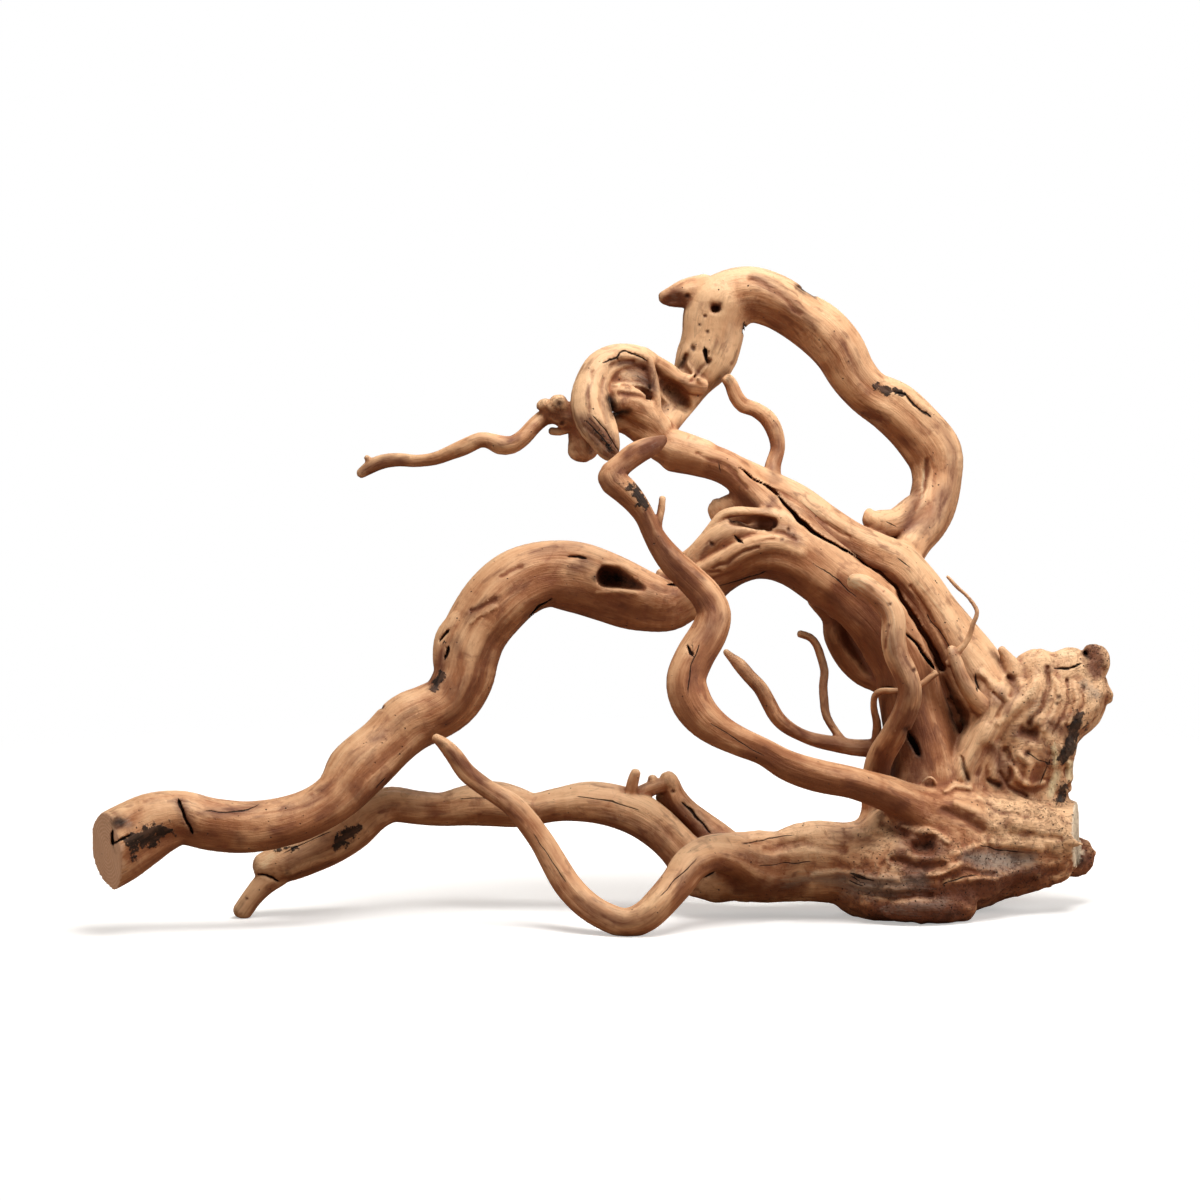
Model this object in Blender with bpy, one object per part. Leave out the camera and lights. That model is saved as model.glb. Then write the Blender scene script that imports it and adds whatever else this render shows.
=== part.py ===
"""Driftwood root for an aquarium: one grown, weathered piece of wood, 610 mm long, lying on three points.

The root is drawn as limbs. A limb is a chain of stations on the drawing, which looks at the wood from the
front, a little above level: u across to the right, v up, w back from the drawing's plane, and the limb's
radius there, all in millimetres. The limbs are grown together into one skin, the crack and the hollows
are cut from it, the two sawn ends are sawn, and the three low points are planed to the surface below.
"""
import math

import bmesh
import bpy
import numpy as np
from mathutils import Vector

MM = 0.001

# The drawing: its tilt above level, its distance from the eye, and its origin in the root's own frame
VIEW_TILT = math.radians(6.0)
VIEW_DISTANCE = 2500.0
DRAWING_AT = (-5.3, 6.0, 186.5)

# The wood's skin: sides of a limb, the gap between its rings, its shallow flutes, and its domed ends
SIDES = 20
STATION_GAP = 5.0
FLUTE_DEPTH = 0.045
FLUTE_COUNT = 3
FLUTE_TURN = 190.0
FLUTE_SHIFT = 1.7
DOME_STEPS = (0.5, 0.85, 0.98)
DOME_LENGTH = 0.8

# How the limbs grow together, and how fine the skin stays
GRAIN_CELL = 1.6
ROUNDING_PASSES = 8
ROUNDING = 0.50
ROUNDING_BACK = -0.53
SKIN_TRIANGLES = 9000

# Limbs: u, v, w and radius at each station
LIMBS = {
    # The long arm on the left, from the middle of the arch down to its sawn end
    "left_arm": (
        (66, 11, 5, 12), (52, 1.5, 3, 12.5), (40, -2.5, 2, 14.8), (24, 1, 1, 18.3), (5, 8.5, 0, 20.3),
        (-14, 14.5, -1, 21), (-32, 15.5, -3, 20.5), (-48.5, 8.7, -6, 21), (-62.5, -3.5, -9, 21),
        (-73.5, -19, -11, 19.5), (-79.5, -33, -13, 19), (-83, -47, -15, 17.8), (-91, -60.5, -17, 17.2),
        (-103, -68, -20, 17.5), (-115, -74, -24, 18), (-128, -86, -29, 17), (-144, -101, -38, 17.8),
        (-158, -118, -46, 15.1), (-180, -130.7, -53, 14), (-208, -136.6, -59, 14.7),
        (-232, -134.8, -63, 15.3), (-251, -130.3, -66, 16.5), (-266, -133.4, -69, 18.5),
        (-279, -140, -72, 20.3), (-292, -148, -76, 21.6), (-311, -160, -81, 21.6),
    ),
    "left_arm_knuckle": (
        (-84, -13, -16, 8), (-91.5, -23, -16, 7.6), (-93, -36, -16, 7), (-89, -47, -17, 7.5),
    ),
    "left_arm_bump": ((-140, -93, -34, 13), (-152, -99, -38, 10.5), (-154, -107, -42, 10)),
    # The arch that joins the left arm to the trunk, with its folds
    "arch": (
        (52, 1.5, 3, 12.5), (62, 9, 4, 12), (71, 15, 4, 12.6), (81, 22, 3, 14), (94, 28.5, 1, 16.8),
        (108, 29.5, 0, 18.6), (122, 24, 0, 18.6), (136, 14, 0, 17.8),
    ),
    "arch_back_knot": ((37, 14, 9, 4.6), (45, 15, 9, 6.5), (56, 17, 7, 8)),
    "arch_upper_fold": (
        (54, 20, -2, 6), (64, 31, -5, 8), (77, 39.5, -7, 8.5), (91, 41, -7, 7), (104, 39, -6, 7),
    ),
    "arch_lower_fold": (
        (60, 17, -8, 6), (75, 24, -11, 7), (90, 31, -13, 7), (105, 33, -14, 7), (118, 29, -11, 9),
    ),
    "arch_rim": (
        (46, 21.5, 4, 5), (53, 27.5, -1, 3.6), (60, 34.5, -4, 3.2), (67, 43.5, -6, 3), (73, 50.5, -7, 3),
        (81, 53, -8, 3), (91, 52.5, -8, 3), (101, 51, -8, 3.4), (109, 48, -7, 4.6), (116, 42, -5, 8),
    ),
    "arch_back_lobe": ((96, 52, 14, 13), (84, 51, 18, 13.5), (75, 50.5, 20, 13.5), (70, 50, 21, 11.8)),
    # The trunk: two strands with the deep crack between them
    "trunk_lower": (
        (45, 88.3, 17, 11.4), (59, 85, 15, 10.4), (72, 81, 13, 9.9), (82, 75, 11, 9.5), (91, 65.5, 8, 9.3),
        (103, 53, 6, 11.5), (115, 39, 3, 15.5), (124, 26, 1, 18), (136, 15, 0, 18.5), (149, 5, 0, 19),
        (164, -9, 0, 20), (175, -24, 0, 19), (183, -40, 0, 18.5), (187, -60, 1, 19), (192, -80, 2, 21),
        (196, -100, 2, 24), (197, -122, 2, 27),
    ),
    "trunk_upper": (
        (60, 85, 17, 9), (74, 80.5, 18, 9), (88, 73.5, 19, 9.6), (102, 67, 20, 9.6), (118, 57.2, 20, 11.2),
        (134, 43.3, 19, 13.4), (149, 33.3, 19, 14.2), (164, 26.5, 19, 15), (178, 20, 19, 16),
        (188, 9, 18, 16.4), (200, -7, 16, 16.2), (212, -27, 14, 17.4),
        (224, -46, 12, 20), (232, -62, 10, 20),
    ),
    "trunk_core": (
        (100, 66, 21, 8), (118, 51, 21, 10), (136, 38, 21, 12), (160, 23, 21, 13), (180, 2, 20, 14),
        (196, -22, 18, 14), (207, -46, 18, 14), (212, -66, 20, 15), (212, -86, 20, 16),
    ),
    "trunk_flap": (
        (133, 2, 12, 9), (140, -10, 16, 7), (141.8, -22, 17, 7), (149.4, -35, 17, 7.3), (158, -45, 15, 6.4),
        (168, -50, 11, 6.3), (178, -56, 6, 9),
    ),
    "trunk_flap_root": ((144, -6, 18, 8), (152, -18, 19, 8), (160, -32, 18, 8), (172, -46, 12, 9)),
    # The upper left: the neck, the top loop that comes back to the trunk, and the saddle under it
    "left_head": (
        (10, 107, 13, 6), (18, 106, 15, 8), (28, 100.5, 17, 10), (37, 93.3, 18, 11), (49, 88.3, 17, 11.6),
        (62, 85, 15, 10.5),
    ),
    "neck": (
        (33, 99, 20, 9), (39, 108, 27, 9.5), (46.3, 119, 33, 10.8),
        (55.4, 132, 37, 12.6), (63.2, 146.5, 39, 17.4),
        (67.2, 157, 40, 17.5), (69, 168, 40, 18), (72, 178, 40, 19.5),
    ),
    "top_loop": (
        (66, 160, 40, 17), (68, 172, 40, 18), (76, 181, 39, 17.5),
        (90, 184, 40, 16.5), (104, 180.5, 42, 16.2),
        (118.5, 171.3, 46, 15.4), (131.5, 162, 50, 16.2), (142, 149.8, 54, 15.6), (150.2, 135.8, 58, 14.4),
        (161, 124.2, 62, 13.6), (176, 115, 66, 15.8), (190.5, 102, 69, 16.3), (200.8, 88, 70, 17),
        (202.2, 73, 67, 15), (200, 59, 61, 14.3), (196, 47, 53, 12.2),
        (188, 36, 42, 11.6), (180, 22, 28, 11),
    ),
    "top_stub": ((62, 185, 38, 10.6), (52, 184.4, 36, 8.8), (43, 182.3, 34, 6), (38, 181.8, 33, 3.8)),
    "saddle": (
        (200, 62, 60, 9), (189, 54, 50, 9.5), (178, 47, 38, 8.5), (168, 46, 30, 8), (162.5, 48, 26, 5.5),
        (161.5, 53, 26, 2.6),
    ),
    "neck_roll": (
        (26, 148, 15, 3.2), (33, 142.8, 18, 4), (40, 137.8, 21, 5), (47.5, 132, 23, 5.2),
        (55, 129.5, 24, 5.4), (61, 128.5, 26, 4.8),
    ),
    "neck_strand": (
        (29, 144, 13, 2.6), (32.5, 132, 11, 2.6), (34, 121, 10, 2.6),
        (34.5, 112, 11, 2.8), (39, 105, 15, 3.5),
    ),
    # The hook at the far upper left, its dark torn end and the gnarl behind it
    "hook": (
        (30, 143.8, 16, 4.3), (21, 146.2, 12, 6.6), (10, 145.4, 7, 8.3), (0.4, 139.6, 2, 9.8),
        (-5, 129, -3, 10.6), (-6, 118, -7, 12.2), (-4, 108, -10, 11.6), (1.2, 98.5, -12, 9.4),
        (4.6, 91, -13, 7.2), (6.4, 87, -13, 4.4),
    ),
    "hook_wall": ((34, 103, 16, 9), (25, 112, 12, 9.5), (18, 119, 8, 9), (8, 122, 2, 9)),
    "hook_back": (
        (-2, 126, 6, 9), (10, 131, 13, 10.5), (22, 130.5, 20, 10.5), (34, 126, 27, 9), (46, 118, 32, 9),
    ),
    "hook_back_stub": ((-10, 110, 0, 10), (-10.5, 99, 4, 8), (-9.7, 89.8, 6, 8.9)),
    "gnarl": ((-14, 110, -2, 8), (-22, 110.5, -3, 6.5), (-28, 112.5, -4, 5), (-33.5, 117.2, -5, 4)),
    "gnarl_knob": ((-19, 111, -3, 5), (-25.5, 118, -7, 6)),
    "gnarl_spur": ((-17, 104, 0, 3.4), (-24, 101, 0, 2.4), (-29, 101.3, 0, 2.2)),
    "long_twig": (
        (-22, 111, 0, 5.5), (-32, 110, -1, 4.6), (-39, 105, -4, 4.6),
        (-46, 97.6, -7, 5), (-53, 93.3, -8, 5.3),
        (-60, 93.4, -9, 5.6), (-66, 95.7, -10, 4.6), (-72, 96.3, -10, 4.4), (-81, 92.3, -10, 4.7),
        (-90, 88.5, -9, 4.5), (-99, 85, -7, 4.4), (-110, 83.5, -4, 4), (-120, 84.2, -1, 4),
        (-129, 83.4, 2, 4.2), (-136, 81, 4, 4.2), (-142, 77, 5, 3.2), (-143.5, 76, 5, 2.6),
    ),
    "long_twig_nub": ((-137, 82, 4, 2.8), (-140, 85.6, 4, 2.2)),
    "rear_twig": (
        (103, 68, 18, 5.5), (103.5, 80, 26, 4.9), (106.5, 91, 30, 4.6), (104.7, 101, 31, 4.9),
        (100, 109.3, 32, 4.9), (92.5, 114.5, 31, 4.4), (86, 116.6, 30, 4.5), (81.5, 122, 29, 4.4),
        (78.7, 129, 28, 4), (76.3, 132.5, 27, 3.7),
    ),
    # The limb in front that swings left and climbs in an S
    "front_limb": (
        (212, -134, -16, 22), (197, -128, -24, 15), (183, -121, -31, 11.4), (171, -115.5, -38, 10.2),
        (152, -109.5, -48, 9.7), (131, -105, -57, 9.7), (112, -98.3, -63, 8.9), (98, -90.7, -67, 8.1),
        (83, -84.5, -70, 9), (71, -78.5, -71, 10.2), (60.5, -70, -72, 11.4), (53.5, -59, -71, 12),
        (51.5, -47, -69, 11.7), (57, -33.5, -65, 11.6), (65.5, -20, -60, 11), (68.7, -8, -56, 10.2),
        (64, 2.5, -54, 9.5), (54.5, 12.5, -52, 8.7), (44.5, 22.3, -51, 8.2), (37, 31.5, -50, 7.2),
        (31.3, 41, -50, 6.3), (27.2, 50, -51, 6.2), (21.6, 58.5, -52, 7.1), (14.6, 66, -53, 7.9),
        (6.9, 73.3, -53, 8.2), (12.5, 81, -51, 6.9), (20.5, 87.6, -48, 6.9), (28.5, 91.8, -45, 6.2),
        (34, 94.2, -43, 4.6), (38, 96.5, -41, 2.6),
    ),
    "front_limb_spur": ((32.5, 37, -50, 4), (35, 47, -50, 2.5), (36.6, 54, -50, 2.4), (37.4, 61, -50, 2.2)),
    # The finger that stands before the trunk
    "finger": (
        (167, -142, -10, 14), (167, -126, -6, 10), (165.5, -110, -10, 8.5), (168, -95, -18, 7.8),
        (176, -80.5, -28, 7.4), (182.5, -67, -36, 7.1), (185.5, -55, -41, 6.8), (183, -44.5, -43, 7),
        (178, -34, -44, 7), (176, -23, -45, 7), (176.3, -12, -44, 6.9), (173, -3, -42, 6.8),
        (166, 3.5, -38, 6.6), (158, 9.3, -35, 6), (152, 11.2, -33, 4.6),
    ),
    # The forked twig inside the S
    "forked_twig": (
        (184, -93, 6, 9), (166, -89.5, 3, 6), (152, -88.4, 0, 5.4),
        (140, -86.2, -2, 4.9), (129, -84, -4, 4.3),
        (120, -80.7, -5, 4), (112, -76, -7, 4.4), (106, -70, -8, 4.5), (101.5, -62, -8, 4.5),
        (96.5, -53, -9, 4.3), (90, -46, -9, 4.2), (84, -39, -9, 4.2),
        (79, -34.5, -9, 3), (75.5, -31, -9, 2.3),
    ),
    "forked_twig_side": (
        (147, -87, -1, 3.6), (142, -80, 0, 2.8), (136, -70, 1, 2.5),
        (134.5, -60, 2, 2.4), (134, -51, 3, 2.4),
        (134.8, -43, 4, 2.4), (132.7, -34.5, 5, 2.4), (130, -27, 5, 2.4),
        (126, -22.3, 5, 2.3), (120, -20.3, 5, 2.2),
    ),
    # The lower rear limb with its broken end and the stub that carries it
    "lower_limb": (
        (-200.5, -161, -12, 9.2), (-189, -157.5, -11, 11.6), (-176, -151.8, -9, 12.9), (-161, -145, -7, 13),
        (-148, -137, -5, 12.6), (-137, -127.8, -3, 11.6), (-125, -122.8, -1, 10.6), (-110, -124.2, 0, 9.9),
        (-95, -125, 1, 9.7), (-80, -122.6, 2, 11.6), (-64, -121.8, 2, 13.4), (-52, -123.6, 1, 12.4),
        (-40, -125, 0, 9.6), (-25, -122.6, 0, 10.2), (-8, -121.6, 0, 11.9), (8, -124, -1, 12.3),
        (23, -129.3, -2, 12.6), (35.5, -137.5, -3, 12.6), (46, -147.5, -5, 12.2), (58, -160, -7, 13),
        (72, -166, -9, 15),
    ),
    "lower_limb_stub": (
        (-194, -164, -12, 8), (-202, -170.5, -14, 6.8), (-209, -178.5, -16, 5.8), (-214.8, -186.8, -17, 5.6),
    ),
    # The front loop that dips to the ground and runs out to a point on the left
    "front_loop": (
        (94, -157, -20, 17), (80, -153, -32, 13), (66, -152.5, -46, 11.5), (54.5, -159, -57, 11),
        (46.7, -169.5, -65, 10.3), (37, -180.7, -72, 9.6), (27, -189.5, -75, 9), (15.5, -193.3, -75, 8.8),
        (3, -189.2, -71, 8.4), (-8.5, -182, -66, 8.2), (-19, -171.3, -60, 8), (-28, -157, -55, 7.7),
        (-35.2, -144.7, -52, 7.4), (-44.7, -131.7, -50, 7.3),
        (-53, -122.8, -49, 6.8), (-63, -116.4, -49, 5.7),
        (-72, -110.2, -50, 5.4), (-80.7, -103, -51, 5.4), (-87.5, -93.4, -52, 5), (-93.5, -86.7, -53, 3.8),
        (-98.5, -82.7, -54, 2.4),
    ),
    # The stubs that stand up between the loop and the base arm
    "inner_stub": (
        (75, -151, 2, 13), (66.5, -141.5, 4, 10.4), (58.3, -133.6, 6, 8.8), (50.4, -126, 7, 8),
        (44.8, -117.2, 7, 6.8), (41.8, -109.3, 6, 6), (40.6, -106.3, 5, 3.8),
    ),
    "inner_web": ((37, -118, 9, 4), (44, -125, 11, 6), (52, -134, 11, 7.5), (60, -144, 8, 9)),
    "inner_twig": ((43, -109.5, 5, 4.6), (33, -112.4, 3, 4.4), (24, -116, 0, 4.2), (18.5, -118, -4, 3.6)),
    "inner_twig_end": ((18, -119.5, -4, 3.4), (19.4, -110, -6, 3.5), (21.3, -103.6, -7, 2.8)),
    "inner_nub": ((31.5, -111, 3, 3), (31.6, -107, 3, 2.5)),
    # The base arm and the crown that carries the weight
    "base_arm": (
        (57, -164, -8, 14.5), (73, -160.7, -10, 19.4), (92, -159.4, -11, 21.3), (110, -158.4, -11, 20.9),
        (128, -155.9, -12, 23.7), (148, -157.2, -12, 24.6), (168, -161, -10, 30), (188, -161, -8, 33),
    ),
    "crown_front": (
        (178, -147, -10, 26), (196, -142, -8, 29), (214, -137, -6, 27.5), (232, -137, -3, 23.5),
        (252, -137, 0, 20.8), (272, -138.5, 2, 18.7), (285, -139.5, 3, 17.5), (295, -140, 3, 15.5),
    ),
    "crown_belly": (
        (166, -165, -16, 27), (184, -163, -16, 31), (202, -161, -14, 31), (216, -160, -8, 28),
        (234, -157.5, 2, 23.5), (252, -155.5, 4, 20.5), (266, -153, 5, 18), (276, -151, 6, 14),
    ),
    "crown_lip": ((164, -180, -31, 10), (182, -182, -35, 12), (200, -182, -35, 12), (214, -180, -27, 13)),
    "crown_heel": ((178, -158, 22, 24), (198, -160, 28, 26), (214, -156, 26, 24)),
    "crown_core": ((197, -118, 4, 28), (216, -112, 12, 28), (240, -104, 18, 30), (258, -96, 18, 25)),
    "crown_rear": (
        (228, -62, 10, 20), (246, -66, 12, 26), (264, -65, 15, 27), (280, -60, 16, 23), (290, -52, 15, 14),
    ),
    "crown_lobe_left": ((262, -60, 12, 20), (262.5, -42.5, 10, 15)),
    "crown_lobe_right": ((281, -58, 16, 18), (281, -43, 13, 16.5)),
    "crown_side": ((246, -84, 10, 26), (262, -84, 13, 25), (266, -102, 14, 17), (266, -118, 10, 14)),
    "crown_leg": (
        (240, -60, -2, 15), (233, -74, -5, 13), (225, -90, -8, 12),
        (219, -105, -10, 11), (217, -120, -9, 13),
    ),
    "crown_spike": ((250, -48, 6, 10), (246, -38.5, 4, 5.4), (242.5, -32, 3, 2.8), (241, -29.5, 3, 2.2)),
    "crown_corner": ((288, -48, 14, 12), (295.5, -38.5, 12, 9.3), (297.8, -32.4, 11, 6.6)),
    "crown_point": ((288, -56, 15, 14), (297.5, -56.5, 14, 8.5), (303, -57.2, 13, 4.2)),
    "crown_bark": ((277, -72, 12, 13), (272.5, -86, 10, 10.5), (274.5, -98, 8, 9), (274, -110, 6, 8.5)),
    "crown_low_lump": ((268, -152, 20, 12), (282, -154.5, 25, 12), (287.5, -154, 27, 9.6)),
    # Thin twigs before the crown
    "crown_twig": (
        (234, -68, -2, 7), (227, -61.5, -4, 5), (221, -54, -8, 4.6), (216, -45, -12, 4.3),
        (213, -36, -14, 4), (210.5, -30, -14, 3.4),
    ),
    "hair_twig": (
        (212, -33, -14, 3), (217, -28.5, -18, 2.4), (221.5, -22, -21, 2.3), (223.8, -14, -22, 2.2),
        (226.5, -7, -22, 2.2), (221.5, 1, -20, 2.2), (214.5, 8.5, -18, 2.2), (209, 14.5, -17, 2.2),
    ),
    "side_twig": (
        (213, -35, -14, 3), (205, -41, -17, 2.4), (197, -48, -19, 2.3), (188, -53, -20, 2.3),
        (177, -55, -19, 2.3), (169, -54.5, -16, 2.3), (164.8, -57.5, -13, 2.3), (164.2, -65, -9, 2.4),
        (166, -74, -4, 2.7), (165.6, -84, 1, 3),
    ),
}

# Hollows: stations like a limb's, and how much deeper than wide each one is
HOLLOWS = {
    "arch_hollow": (((3, 14, -22, 6.6), (9, 13, -21, 6.2), (17, 10.2, -20, 4), (26, 6.8, -19, 1.4)), 2.2),
    "loop_hole": (((67.5, 175, 20, 2.8), (72, 174.8, 20, 2.2)), 4.0),
    "fold_recess": (((79, 47, -13, 2), (88, 46.7, -10, 3.4), (97, 46, -9, 4.4), (104, 46, -10, 3)), 2.2),
    "neck_trough": (((38, 130, 16, 4), (44, 125, 19, 6), (50, 119, 22, 5.4), (53, 114, 24, 3)), 1.3),
    "flap_hollow": (((141, -13, -2, 2.6), (147, -22, 1, 4.4), (154, -33, 3, 3.4)), 2.0),
    "crown_cavity": (
        ((207, -48, -14, 2), (211, -58, -12, 4.5), (216, -70, -12, 6), (216.5, -79, -14, 3)), 2.4,
    ),
    "crown_pocket": (((254, -81, -18, 4), (262, -81.5, -17, 4.4)), 2.0),
    "base_hollow": (((191, -148, -40, 4.6), (198, -147, -40, 5.4)), 1.5),
}

# The long crack between the two strands of the trunk: u, v and half its width, cut from front to back
CRACK = (
    (84, 78.5, 0.7), (92, 73, 1.0), (100, 68, 1.2), (107, 62, 1.4), (113, 55, 1.6), (119, 48, 1.8),
    (127, 41.5, 1.7), (136, 36.3, 1.2), (147, 29.5, 1.0), (158, 22.5, 1.2), (168, 16.5, 1.7), (177, 8, 2.2),
    (183, -2, 2.6), (189, -12, 2.8), (195, -21, 3.0), (200, -31, 3.4), (205, -41, 3.6),
)
CRACK_FRONT = -24.0
CRACK_BACK = 12.0
CRACK_TAPER = 0.45

# Saw cuts: a point on the cut, the direction that the sawn face looks in, and the cut's reach
LEFT_SAW = ((-296.5, -148.0, -77.0), (-0.86, -0.16, -0.48), 40.0)
RIGHT_SAW = ((286.0, -139.0, 5.0), (0.975, 0.0, -0.22), 20.5)
SAW_DEPTH = 60.0
SAW_SIDES = 24
FLOOR_BLOCK = 700.0

# Cutters keep this share of their faces, and a cutter's points closer than this are one point
CUTTER_FACES = 0.3
ONE_POINT = 0.01

# Edges that turn by more than this stay crisp: the saw cuts and the planed underside
CREASE = math.radians(40.0)

WOOD_COLOUR = (0.46, 0.25, 0.12, 1.0)
WOOD_ROUGHNESS = 0.72


def clear_scene():
    """Remove whatever the scene holds."""
    for obj in list(bpy.data.objects):
        bpy.data.objects.remove(obj, do_unlink=True)


def wood_material():
    """The one finish: bare, dry, sun-bleached root wood."""
    material = bpy.data.materials.new("root_wood")
    material.use_nodes = True
    shader = material.node_tree.nodes["Principled BSDF"]
    shader.inputs["Base Color"].default_value = WOOD_COLOUR
    shader.inputs["Roughness"].default_value = WOOD_ROUGHNESS
    shader.inputs["Metallic"].default_value = 0.0
    return material


def view_back():
    """The direction that looks into the drawing."""
    return Vector((0.0, math.cos(VIEW_TILT), -math.sin(VIEW_TILT)))


def view_up():
    """The direction that is up on the drawing."""
    return Vector((0.0, math.sin(VIEW_TILT), math.cos(VIEW_TILT)))


def placed(u, v, w):
    """A point of the drawing in the root's frame, in millimetres, and the scale at its depth."""
    scale = (VIEW_DISTANCE + w) / VIEW_DISTANCE
    across = Vector((u * scale, 0.0, 0.0))
    return Vector(DRAWING_AT) + across + view_up() * (v * scale) + view_back() * w, scale


def smooth_chain(stations):
    """Points and radii read every few millimetres from a smooth curve through the stations."""
    keys = []
    for u, v, w, radius in stations:
        point, scale = placed(u, v, w)
        keys.append(np.array((*point, radius * scale)))
    keys = [2 * keys[0] - keys[1]] + keys + [2 * keys[-1] - keys[-2]]
    chain = []
    for before, here, there, after in zip(keys, keys[1:], keys[2:], keys[3:]):
        steps = max(2, math.ceil(np.linalg.norm((there - here)[:3]) / STATION_GAP))
        for step in range(steps):
            t = step / steps
            chain.append(0.5 * (2 * here + (there - before) * t
                                + (2 * before - 5 * here + 4 * there - after) * t ** 2
                                + (3 * here - before - 3 * there + after) * t ** 3))
    chain.append(keys[-2])
    return np.array(chain)


def domed(end, inner):
    """The stations past a limb's end: each narrower than the one before, as on a dome."""
    outward = (end[:3] - inner[:3]) / np.linalg.norm(end[:3] - inner[:3])
    radius = end[3]
    stations = []
    for step in DOME_STEPS:
        point = end[:3] + outward * (radius * step * DOME_LENGTH)
        stations.append(np.array((*point, radius * math.sqrt(1 - step ** 2))))
    return stations


def rounded_ends(chain):
    """The chain with three more stations past each end, which close the limb in a dome."""
    first = domed(chain[0], chain[1])
    last = domed(chain[-1], chain[-2])
    return np.array(first[::-1] + list(chain) + last)


def ring_axes(chain, index):
    """Two directions across the limb at a station: one on the drawing's plane, one into it."""
    ahead = chain[min(index + 1, len(chain) - 1)][:3] - chain[max(index - 1, 0)][:3]
    along = Vector(ahead).normalized()
    across = along.cross(view_back()).normalized()
    return across, across.cross(along).normalized()


def tube(bm, stations, depth=1.0, flutes=FLUTE_DEPTH, phase=0.0):
    """Add a limb to the mesh: rings along the chain, bridged, with a domed end at each side."""
    chain = rounded_ends(smooth_chain(stations))
    travel = 0.0
    rings = []
    for index, station in enumerate(chain):
        if index:
            travel += float(np.linalg.norm(station[:3] - chain[index - 1][:3]))
        across, inward = ring_axes(chain, index)
        ring = []
        for side in range(SIDES):
            angle = 2 * math.pi * side / SIDES
            turn = FLUTE_COUNT * angle + phase + 2 * math.pi * travel / FLUTE_TURN
            radius = station[3] * (1 + flutes * math.sin(turn))
            offset = across * (radius * math.cos(angle)) + inward * (radius * depth * math.sin(angle))
            ring.append(bm.verts.new((Vector(station[:3]) + offset) * MM))
        rings.append(ring)
    for ring, following in zip(rings, rings[1:]):
        for side in range(SIDES):
            beside = (side + 1) % SIDES
            bm.faces.new((ring[side], ring[beside], following[beside], following[side]))
    bm.faces.new(list(reversed(rings[0])))
    bm.faces.new(rings[-1])


def mesh_object(name, bm):
    """Turn a bmesh into an object in the scene, with its faces turned outwards."""
    bmesh.ops.recalc_face_normals(bm, faces=bm.faces)
    mesh = bpy.data.meshes.new(name)
    bm.to_mesh(mesh)
    bm.free()
    obj = bpy.data.objects.new(name, mesh)
    bpy.context.scene.collection.objects.link(obj)
    return obj


def settle(obj):
    """Replace an object's mesh by what its modifiers make of it."""
    graph = bpy.context.evaluated_depsgraph_get()
    made = bpy.data.meshes.new_from_object(obj.evaluated_get(graph))
    obj.modifiers.clear()
    obj.data = made


def keep_the_body(obj):
    """Keep the largest connected body: a scrap or a sealed pocket is not part of the wood."""
    bm = bmesh.new()
    bm.from_mesh(obj.data)
    waiting = set(bm.verts)
    bodies = []
    while waiting:
        body = {waiting.pop()}
        edge_of_body = list(body)
        while edge_of_body:
            vert = edge_of_body.pop()
            for edge in vert.link_edges:
                other = edge.other_vert(vert)
                if other in waiting:
                    waiting.discard(other)
                    body.add(other)
                    edge_of_body.append(other)
        bodies.append(body)
    bodies.sort(key=len)
    for scrap in bodies[:-1]:
        bmesh.ops.delete(bm, geom=list(scrap), context="VERTS")
    bm.to_mesh(obj.data)
    bm.free()


def round_off(obj):
    """Round the creases where limbs meet, without thinning the twigs."""
    mesh = obj.data
    points = np.empty(len(mesh.vertices) * 3)
    mesh.vertices.foreach_get("co", points)
    points = points.reshape(-1, 3)
    ends = np.empty(len(mesh.edges) * 2, dtype=np.int64)
    mesh.edges.foreach_get("vertices", ends)
    first, second = ends.reshape(-1, 2).T
    count = np.bincount(np.concatenate((first, second)), minlength=len(points))[:, None]
    for _ in range(ROUNDING_PASSES):
        for share in (ROUNDING, ROUNDING_BACK):
            mean = np.zeros_like(points)
            for axis in range(3):
                mean[:, axis] = (np.bincount(first, points[second, axis], len(points))
                                 + np.bincount(second, points[first, axis], len(points)))
            points = points + share * (mean / count - points)
    mesh.vertices.foreach_set("co", points.ravel())
    mesh.update()


def grown_skin():
    """All the limbs grown together into one closed skin."""
    bm = bmesh.new()
    for number, stations in enumerate(LIMBS.values()):
        tube(bm, stations, phase=FLUTE_SHIFT * number)
    root = mesh_object("driftwood_root", bm)
    skin = root.modifiers.new("grow_together", "REMESH")
    skin.mode = "VOXEL"
    skin.voxel_size = GRAIN_CELL * MM
    settle(root)
    keep_the_body(root)
    round_off(root)
    thin = root.modifiers.new("fewer_faces", "DECIMATE")
    thin.ratio = SKIN_TRIANGLES / (2 * len(root.data.polygons))
    thin.use_collapse_triangulate = True
    settle(root)
    return root


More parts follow.
